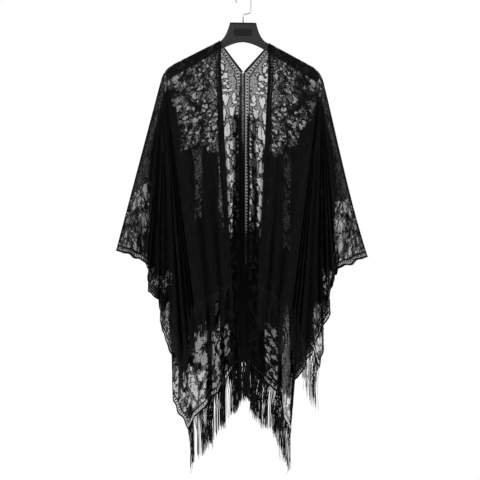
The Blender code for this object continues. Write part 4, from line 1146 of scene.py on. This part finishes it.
def makeLace(side, layer):
    # a quarter of the shawl: a plain grid on the flat cloth, draped and creased, with what the
    # shader needs at each point
    shape = shapes[side, layer]
    width, length = cloth["width"], shape["length"]
    columnCount, rowCount = (int(round(size / cloth["step"])) + 1 for size in (width, length))
    u, v = np.meshgrid(np.linspace(0, width, columnCount), np.linspace(0, length, rowCount))
    points = drape(shape, wavedSide(u, v), v)
    across, down, fromSide, fromHem = u * 1000, v * 1000, (width - u) * 1000, (length - v) * 1000
    signedV = down if layer == "back" else -down
    held = ramp(v, sheet["heldFrom"], sheet["heldRun"])
    height = creaseHeight(across, down, creases[side + layer.capitalize()]) / 1000
    # in tight folds there is no room for a crease's own height, and it dies out at the edges
    room = np.pad(shareShown(points, sheet["roomWide"]), ((0, 0), (0, 1)), "edge")
    height *= np.maximum(ramp(room, sheet["roomFrom"], sheet["roomRun"]), sheet["roomLeast"])
    edge = np.minimum(np.minimum(u, width - u), length - v)
    height *= held * np.clip(edge / sheet["rimRun"], sheet["rimLeast"], 1)
    outward = gridNormals(points)
    outward *= np.sign(outward[..., 1:2] * shape["way"])
    points = points + outward * height[..., None]
    count = countLayers(shape, points, across, down, fromHem, held)
    shown = shareShown(points, sheet["shownWide"])
    shownU = np.concatenate([np.zeros((rowCount, 1)), np.cumsum(shown, 1)], 1) * (across[0, 1] - across[0, 0])
    sheer, velvet = laceFigures(across, signedV, shownU, layer)

    # the border: how far each point is from the nearest edge, and how far along that edge
    hemward, beside = fromHem * fit["hem"], np.minimum(across, fromSide)
    onHem = hemward < beside
    nearest, along = np.where(onHem, hemward, beside), np.where(onHem, shownU, down)
    outer = (onHem | (fromSide < across)) * 1.0
    vFoot = shape["vDepth"] * 1000
    besideV = np.zeros(u.shape)
    if layer == "back":
        # the V's border is narrower, its ladder closer, and plain net lies along it
        fadeFrom, fadeRun = fit["vFade"]
        besideV = ramp(down, vFoot + fadeFrom, -fadeRun) * (across < fit["vReach"])
        (solid, solidGrows), (beyond, grows) = fit["vSolid"], fit["vBeyond"]
        narrow = np.where(across < solid, across * solidGrows, beyond + grows * (across - solid))
        narrow = across * fit["back"] + (narrow - across * fit["back"]) * besideV
        nearest = np.where((nearest == across) & (nearest < fit["reach"]), narrow, nearest)
        along = np.where(onHem, along, down + fit["vDashes"] * np.minimum(down, vFoot))
    belowV = (down > vFoot + fit["belowV"]) & ~onHem
    if (layer, side) == ("back", "right"):
        # below the V half of this panel's solid edge is sewn into the seam
        reach, sewn = fit["sewnIn"]
        nearest = np.where(belowV & (across < reach), across * fit["back"] + sewn, nearest)
    if (layer, side) == ("back", "left"):
        # below the V a dark line runs along the seam, and a little further down this panel's border
        # goes under the other's
        below = belowV & (across < fit["leftReach"])
        under = below & (down > vFoot + fit["underFrom"])
        lines = []
        for part, (start, middle, half) in ((below, fit["leftLine"]), (under, fit["underLine"])):
            nearest = np.where(part, np.maximum(across, start), nearest)
            lines.append(np.abs(across - middle) - half)
        seamLine = np.where(under, lines[1], lines[0])
        darker = np.maximum(count, seamLayers(down, seam["edgeLayers"]))
        count = np.where(under & (across < fit["darkTo"]), darker, count)

    # plain ground pushes the figures off, and small curls speckle it, but not beside the V's foot
    plain = plainGround(across, signedV, shape)
    clearTo = lace["clearOfBorder"] + lace["clearBesideV"] * besideV
    clear = np.maximum(clearTo - nearest, clearing["plain"] * (plain - 0.5))
    sheer = np.maximum(sheer, clear + lace["outline"] * 0.5)
    curled = clearing["curlShare"] * plain
    for row in plainPatches["both"] + plainPatches[layer]:
        bare = patchShare(points[..., 0] * 1000, points[..., 2] * 1000, row[:7])
        sheer, plain = sheer + clearing["patch"] * bare, np.maximum(plain, bare)
        velvet = velvet + clearing["patch"] * bare * (row[7] == 0)
        curled = np.maximum(curled, bare * row[7] * (1.0 if layer == "front" else clearing["backCurls"]))
    curl = clearing["curlSteep"] * (np.abs(sampled(curls, shownU, down)) - curled)
    curly = (plain > clearing["curlFrom"]) & (across + down > clearing["curlBelow"])
    velvet = np.where(curly, np.minimum(velvet, curl), velvet)
    velvet = np.where(nearest < clearTo + clearing["velvet"], np.maximum(velvet, clear), velvet)
    if (layer, side) == ("back", "left"):
        sheer = np.where(under, np.maximum(sheer, fit["lineTo"] - across), sheer)
        velvet = np.where(below & (across < fit["lineTo"]), seamLine, velvet)

    fields = {
        "cut": (across, signedV, 0 * u), "border": (nearest, along, outer), "figures": (sheer, velvet, count)}
    # outside the body the front of the cloth faces out
    way = -1 if (layer == "front") != (side == "left") else 1
    attributes = {key: np.stack(values, -1)[:, ::way].reshape(-1, 3) for key, values in fields.items()}
    name = f"lace{layer.capitalize()}{side.capitalize()}"
    made = meshFromGrid(name, points[:, ::way], laceCloth, attributes=attributes)
    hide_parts(f"panel_{side}")
    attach(made, "root")


edging = {"radius": 0.0011, "steps": 400}


def makeEdging(side):
    # the rolled edge: one thin cord round the whole panel, front and back, but none on the left half
    # of the seam, where the net tape takes its place
    width = cloth["width"]
    cords = []
    for layer in layers:
        shape = shapes[side, layer]
        length = shape["length"]
        foot = shape["vDepth"] if (side, layer) == ("left", "back") else length
        for u0, u1, v0, v1 in ((0, 0, 0, foot), (0, width, length, length), (width, width, length, 0)):
            u, v = np.linspace(u0, u1, edging["steps"]), np.linspace(v0, v1, edging["steps"])
            cords.append(drape(shape, wavedSide(u, v), v))
    paths = np.stack(cords)
    points, faces = tubes(paths, np.full(paths.shape[:2], edging["radius"]), 5)
    made = meshFromArrays(f"edging{side.capitalize()}", points, faces, cordYarn)
    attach(made, "root")


fringe = {
    "length": 0.115,
    "over": 0.006,  # no yarn is longer by more
    "halfThickness": 0.00056,
    "thicknesses": (0.7, 1.25),
    "taper": 0.2,
    "steps": 12,
    "bunches": (2, 6),  # yarns in the smallest and in the largest
    "inOrder": 0.5,  # share of a column's yarns that keep their order along the hem
    "overSeam": 0.004,
    "denseFrom": 1500,  # yarns to a metre
    "pull": (0.3, 0.8),  # how far a bunch draws together, in a dense column and in a thin one
    "pullUneven": (0.5, 1.2),
    "drawnBy": 0.30,  # the share of its fall in which a yarn comes to its place
    "uneven": 0.05,
    "bunchUneven": 0.10,
    "waves": ((3.1, 0.6), (7.3, 0.3)),  # a slow and a quicker wander
    "sway": 0.0026,
    "drift": 0.0012,
}
# The yarns hang together in columns. A row is a run of the hem, from u to u, where that run hangs at its
# foot, from x to x, its share of the full length and its number of yarns; millimetres
columns = {
    "leftBack": (
        (0, 18, -13, 4, 0.88, 50), (18, 50, -21, -8, 1.0, 52), (50, 130, -36, -11, 1.0, 80),
        (130, 150, -37, -31, 0.97, 6),
        (150, 250, -61, -47, 1.0, 40), (250, 320, -67, -57, 0.97, 24), (320, 385, -79, -65, 0.95, 16),
        (385, 480, -103, -79, 1.0, 78), (480, 535, -113, -101, 1.0, 32), (535, 600, -130, -113, 0.98, 14),
        (600, 662, -142, -134, 1.0, 26),
    ),
    "rightBack": (
        (0, 32, -4, 20, 0.80, 110), (32, 70, 17, 33, 1.0, 74), (70, 92, 27, 50, 1.02, 60),
        (92, 128, 42, 68, 1.02, 62), (128, 150, 66, 80, 0.98, 12), (150, 330, 76, 98, 1.0, 66),
        (330, 560, 90, 109, 1.0, 72), (560, 600, 108, 116, 0.96, 9), (600, 662, 114, 127, 1.0, 20),
    ),
    "leftFront": (
        (0, 20, -34, -28, 0.9, 20), (20, 60, -62, -50, 0.95, 36), (60, 100, -90, -76, 0.9, 40),
        (100, 160, -126, -96, 0.82, 70), (160, 400, -144, -126, 1.0, 60), (400, 560, -160, -144, 1.0, 40),
        (560, 662, -170, -158, 1.0, 28),
    ),
    "rightFront": (
        (0, 33, 37, 56, 1.0, 60), (33, 84, 58, 89, 0.84, 80), (84, 150, 90, 101, 1.0, 44),
        (150, 350, 123, 139, 1.0, 44), (350, 500, 134, 156, 1.0, 24), (500, 662, 152, 199, 1.0, 62),
    ),
}


def makeFringe(side, layer, seed):
    # Yarns from the hem: each starts on the hem and falls straight, drawn to its place in its column
    # and a little to its bunch, with a slow wander of its own, and they end unevenly
    shape = shapes[side, layer]
    rng = np.random.default_rng(seed)
    rows = np.array(columns[side + layer.capitalize()])
    yarns = rows[:, 5].astype(int)
    row = np.repeat(rows, yarns, axis=0) / np.array([1000, 1000, 1000, 1000, 1, 1])
    count = len(row)
    place = np.concatenate([(np.arange(n) + rng.uniform(0.1, 0.9, n)) / n for n in yarns])
    u = row[:, 0] + (row[:, 1] - row[:, 0]) * place
    smallest, largest = fringe["bunches"]
    bunch = np.repeat(np.arange(count), rng.integers(smallest, largest + 1, count))[:count]
    bunchCount = bunch.max() + 1
    heads = drape(shape, u, np.full(count, shape["length"]))
    # beside the seam the heads close over it
    atSeam = (u < fringe["overSeam"]) & (layer == "back")
    heads[:, 0] *= np.where(atSeam, rng.uniform(0, 1, count), 1)
    if side == "left":
        place = 1 - place
    # the yarns that don't keep their order lie anywhere in their column
    place = np.where(rng.uniform(0, 1, count) < fringe["inOrder"], place, rng.uniform(0, 1, count))
    foot = np.stack([row[:, 2] + (row[:, 3] - row[:, 2]) * place, heads[:, 1]], -1)
    total = np.zeros((bunchCount, 2))
    np.add.at(total, bunch, foot)
    middle = (total / np.bincount(bunch)[:, None])[bunch]
    tight = np.where(row[:, 5] / (row[:, 3] - row[:, 2]) > fringe["denseFrom"], *fringe["pull"])
    pull = (tight * rng.uniform(*fringe["pullUneven"], bunchCount)[bunch])[:, None]
    foot += (middle - foot) * pull
    t = np.linspace(0, 1, fringe["steps"])
    drawn = 1 - np.exp(-((t / fringe["drawnBy"]) ** 2))
    length = fringe["length"] * row[:, 4] * (1 + fringe["uneven"] * rng.uniform(-1.8, 0.6, count))
    bunchLength = (1 + fringe["bunchUneven"] * rng.uniform(-1, 0.5, bunchCount))[bunch]
    length = np.minimum(length * bunchLength, fringe["length"] + fringe["over"])
    paths = np.repeat(heads[:, None], len(t), 1)
    paths[..., :2] += (foot - heads[:, :2])[:, None] * drawn[:, None]
    for axis in (0, 1):
        phases = rng.uniform(0, 2 * math.pi, (2, count))
        waves = 0
        for (wave, size), phase in zip(fringe["waves"], phases):
            waves = waves + np.sin(t * wave + phase[:, None]) * size
        waves = (waves - waves[:, :1]) * t
        size = fringe["sway"] * rng.uniform(0.2, 1.0, count) ** 2
        paths[..., axis] += waves * size[:, None]
    drift = rng.normal(0, fringe["drift"], (bunchCount, 2))[bunch]
    paths[..., :2] += drift[:, None] * (t**1.5)[:, None]
    paths[..., 2] -= length[:, None] * t
    thin = fringe["halfThickness"] * rng.uniform(*fringe["thicknesses"], count)
    points, faces = tubes(paths, thin[:, None] * (1 - fringe["taper"] * t**3), 3)
    name = f"fringe{layer.capitalize()}{side.capitalize()}"
    made = meshFromArrays(name, points, faces, fringeYarn)
    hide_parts(f"fringe_{layer}_{side}")
    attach(made, "root")


def makeSeam():
    # the centre-back seam: a narrow net tape between the panels, a cord on its right half and
    # a zigzag of thread over it
    shape = shapes["left", "back"]
    v = np.linspace(shape["vDepth"] + seam["gapTop"], shape["length"], seam["steps"])
    edge = drape(shape, np.zeros(len(v)), v) * np.array([0, 1, 1])
    aside = np.array([1.0, 0, 0])
    cord = edge + aside * seam["cordX"]
    points, faces = tubes(cord[None], np.full((1, len(v)), seam["cordRadius"]), 5)
    turns = np.linspace(0, (v[-1] - v[0]) / seam["stitchPitch"], seam["stitchSteps"])
    share = np.linspace(0, 1, len(v))
    zigzag = np.stack([np.interp(turns / turns[-1], share, edge[:, axis]) for axis in range(3)], -1)
    zigzag[:, 0] += seam["cordX"] + seam["stitchHalf"] * (2 * np.abs(2 * (turns % 1) - 1) - 1)
    zigzag[:, 1] -= seam["stitchLift"]
    stitches, stitchFaces = tubes(zigzag[None], np.full((1, len(turns)), seam["stitchRadius"]), 3)
    faces = np.concatenate([faces, stitchFaces + len(points)])
    made = meshFromArrays("centreSeam", np.concatenate([points, stitches]), faces, seamThread)
    tapeX = np.array(seam["tapeX"])
    tape = edge[:, None] + tapeX[:, None] * aside
    across, down = (part.ravel() for part in np.broadcast_arrays(tapeX * 1000, v[:, None] * 1000))
    far = np.full(len(down), farOff)
    fields = {
        "cut": (across, down, 0 * far), "border": (far, far, 0 * far),
        "figures": (far, far, seamLayers(down, seam["tapeLayers"]))}
    attributes = {key: np.stack(values, -1) for key, values in fields.items()}
    net = meshFromGrid("seamTape", tape[:, ::-1], laceCloth, attributes=attributes)
    for piece in (made, net):
        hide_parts("back_seam")
        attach(piece, "root")


for number, (side, layer) in enumerate(quarters):
    makeLace(side, layer)
    makeFringe(side, layer, 11 + number)
    print("draped", side, layer)
for side in panels:
    makeEdging(side)
makeSeam()
print("cloth made")


# The hanger's body: half its outline, and how its edge is rounded
hanger = {
    "halfThickness": 0.0055,
    "rounding": 0.0046,
    "roundingSteps": 6,
    "headHalfWidth": 0.0347,
    "headTop": -0.080,
    "headCorner": 0.0012,
    "underCloth": 0.0021,
    "waistX": 0.0445,
    "flareX": 0.0625,
    "tipStartX": 0.170,
    "tipPullX": 0.1965,
    "tipShoulder": (0.2030, -0.2225),
    "tipCorner": (0.2036, -0.2395),
    "tipRadius": 0.0068,
    "archStart": (0.060, -0.1535),
    "archPull": (0.023, -0.1325),
    "sharpFrom": 30,  # degrees
}
# The wire hook, from its foot in the head to its open end
hook = {
    "radius": 0.0199,
    "wire": 0.0016,
    "foot": -0.0797,
    "jogFoot": -0.0590,
    "jogTop": -0.0545,
    "bend": 0.006,
    "endAngle": 212,
    "step": 5,  # degrees between two rings of the round top
}


def bezier(start, control, end, steps):
    # a curve from start to end, drawn towards control
    t = np.linspace(0, 1, steps + 1)[:, None]
    start, control, end = (np.array(p) for p in (start, control, end))
    return start * (1 - t) ** 2 + 2 * control * t * (1 - t) + end * t**2


def arcCorner(before, corner, after, radius, steps):
    # points round a corner, on the circle that touches both of its sides
    before, corner, after = (np.array(p) for p in (before, corner, after))
    back = (before - corner) / np.linalg.norm(before - corner)
    ahead = (after - corner) / np.linalg.norm(after - corner)
    half = math.acos(back @ ahead) / 2
    middle = (back + ahead) / np.linalg.norm(back + ahead)
    centre = corner + middle * radius / math.sin(half)
    start = corner + back * radius / math.tan(half) - centre
    end = corner + ahead * radius / math.tan(half) - centre
    sweep = math.pi - 2 * half
    t = np.linspace(0, 1, steps + 1)[:, None]
    return centre + (start * np.sin((1 - t) * sweep) + end * np.sin(t * sweep)) / math.sin(sweep)


def underCloth(x):
    # a point of the arm's top, just under the cloth
    return x, armTop(x) - hanger["underCloth"]


def hangerOutline():
    # half of the outline from the head's top round to the arch, then the same mirrored
    head, middle = (hanger["headHalfWidth"], hanger["headTop"]), (0.0, hanger["headTop"])
    arch = (0.0, hanger["archPull"][1])
    flank = bezier(head, underCloth(hanger["waistX"]), underCloth(hanger["flareX"]), 24)[2:]
    half = np.concatenate([
        [middle, (head[0] / 2, head[1])],
        arcCorner(middle, head, flank[0], hanger["headCorner"], 4),
        flank,
        bezier(underCloth(hanger["tipStartX"]), underCloth(hanger["tipPullX"]), hanger["tipShoulder"], 14),
        arcCorner(hanger["tipShoulder"], hanger["tipCorner"], hanger["archStart"], hanger["tipRadius"], 10),
        bezier(hanger["archStart"], hanger["archPull"], arch, 24),
    ])
    return np.concatenate([half, half[1:-1][::-1] * np.array([-1, 1])])


def makeHanger():
    # rings of the outline, drawn in towards the faces round a quarter circle, and one face over each end
    outline = hangerOutline()
    count = len(outline)
    edges = [outline - np.roll(outline, 1, 0), np.roll(outline, -1, 0) - outline]
    normals = [edge[:, ::-1] * (1, -1) / np.linalg.norm(edge, axis=1, keepdims=True) for edge in edges]
    inward = sum(normals)
    inward /= (inward * normals[0]).sum(1, keepdims=True)
    angles = np.linspace(math.pi / 2, 0, hanger["roundingSteps"] + 1)
    depths = hanger["halfThickness"] - hanger["rounding"] * (1 - np.sin(angles))
    insets = hanger["rounding"] * (1 - np.cos(angles))
    rings = []
    for depth, inset in zip([*-depths, *depths[::-1]], [*insets, *insets[::-1]]):
        x, z = tilted(*(outline + inward * inset).T)
        rings.append(np.stack([x, np.full(count, depth), z], 1))
    faces = [list(range(count)), [(len(rings) - 1) * count + k for k in range(count)][::-1]]
    for start in range(0, (len(rings) - 1) * count, count):
        corners = [(start + k, start + (k + 1) % count) for k in range(count)]
        faces += [[this, this + count, following + count, following] for this, following in corners]
    mesh = bpy.data.meshes.new("hangerBody")
    mesh.from_pydata(np.concatenate(rings).tolist(), [], faces)
    mesh.shade_smooth()
    mesh.set_sharp_from_angle(angle=math.radians(hanger["sharpFrom"]))
    mesh.materials.append(hangerPlastic)
    made = bpy.data.objects.new("hangerBody", mesh)
    scene.collection.objects.link(made)
    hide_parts("hanger")
    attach(made, "root")


def makeHook():
    # the wire's path: up, across and over in a round top, as one tube
    radius, bend = hook["radius"], hook["bend"]
    centreZ = hook["wire"] - radius
    stem = [(0.0, hook["foot"]), (0.0, hook["jogFoot"]), (radius, hook["jogTop"]), (radius, centreZ)]
    turn = np.radians(np.arange(0, hook["endAngle"] + 1, hook["step"]))
    top = np.stack([radius * np.cos(turn), centreZ + radius * np.sin(turn)], 1)
    corners = [arcCorner(*stem[k : k + 3], bend, 10) for k in (0, 1)]
    x, z = tilted(*np.concatenate([stem[:1], *corners, top]).T)
    path = np.stack([x, np.zeros(len(x)), z], 1)
    points, faces = tubes(path[None], np.full((1, len(path)), hook["wire"]), 16)
    made = meshFromArrays("hookWire", points, faces, steelWire)
    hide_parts("hanger_hook")
    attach(made, "root")


makeHanger()
makeHook()
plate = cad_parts["hanger_plate"]
plate.material_slots[0].material = platePlastic
print("hanger made")


# Floor, light and camera
studio = {
    "floorZ": -1.75,
    "floorHalf": 2.3,
    "worldStrength": 1.0,
    "lights": (  # name, place, size and power
        ("keyLight", (-1.8, -2.6, 1.0), 1.4, 60),
        ("fillLight", (2.4, -2.0, 0.2), 1.8, 30),
        ("backLight", (0.6, 2.8, 0.9), 1.6, 30),
    ),
    "lightsAim": (0, 0, -0.65),
    "cameraDistance": 7.0,
    "frameWidth": 1.272,  # what the camera takes in across, at the hanger
    "lookAt": (-0.0093, 0.0, -0.6563),
    "sensor": 36.0,
}


def makeFloor():
    # pale painted floor, slightly cloudy, as one large disc
    paint = grainedMaterial("palePaintedFloor", "#f3f3f2", "#f8f8f7", 3.0, 3.0, {"Roughness": 0.8})
    angles, radii = np.linspace(0, 2 * math.pi, 65)[:-1], np.linspace(0.01, studio["floorHalf"], 6)
    angle, radius = np.meshgrid(angles, radii)
    level = np.full(angle.shape, studio["floorZ"])
    points = np.stack([radius * np.cos(angle), radius * np.sin(angle), level], -1)
    made = meshFromGrid("studioFloor", points[::-1], paint, closedAcross=True)


def makeLights():
    # an even white world with three soft square lamps
    world = bpy.data.worlds.new("studioWorld")
    world.use_nodes = True
    background = world.node_tree.nodes["Background"]
    background.inputs["Color"].default_value = (1, 1, 1, 1)
    background.inputs["Strength"].default_value = studio["worldStrength"]
    scene.world = world
    for name, place, size, power in studio["lights"]:
        light = bpy.data.lights.new(name, "AREA")
        light.size = size
        light.energy = power
        lamp = bpy.data.objects.new(name, light)
        lamp.location = place
        x, y, z = np.array(studio["lightsAim"]) - place
        lamp.rotation_euler = (math.atan2(math.hypot(x, y), -z), 0, math.atan2(y, x) - math.pi / 2)
        scene.collection.objects.link(lamp)


def makeCamera():
    # a long lens, level and straight from the front
    camera = bpy.data.cameras.new("studioCamera")
    camera.sensor_width = studio["sensor"]
    camera.lens = studio["sensor"] * studio["cameraDistance"] / studio["frameWidth"]
    view = bpy.data.objects.new("studioCamera", camera)
    x, y, z = studio["lookAt"]
    view.location = (x, y - studio["cameraDistance"], z)
    view.rotation_euler = (math.pi / 2, 0, 0)
    scene.collection.objects.link(view)
    scene.camera = view


makeFloor()
makeLights()
makeCamera()
scene.view_settings.view_transform = "Standard"
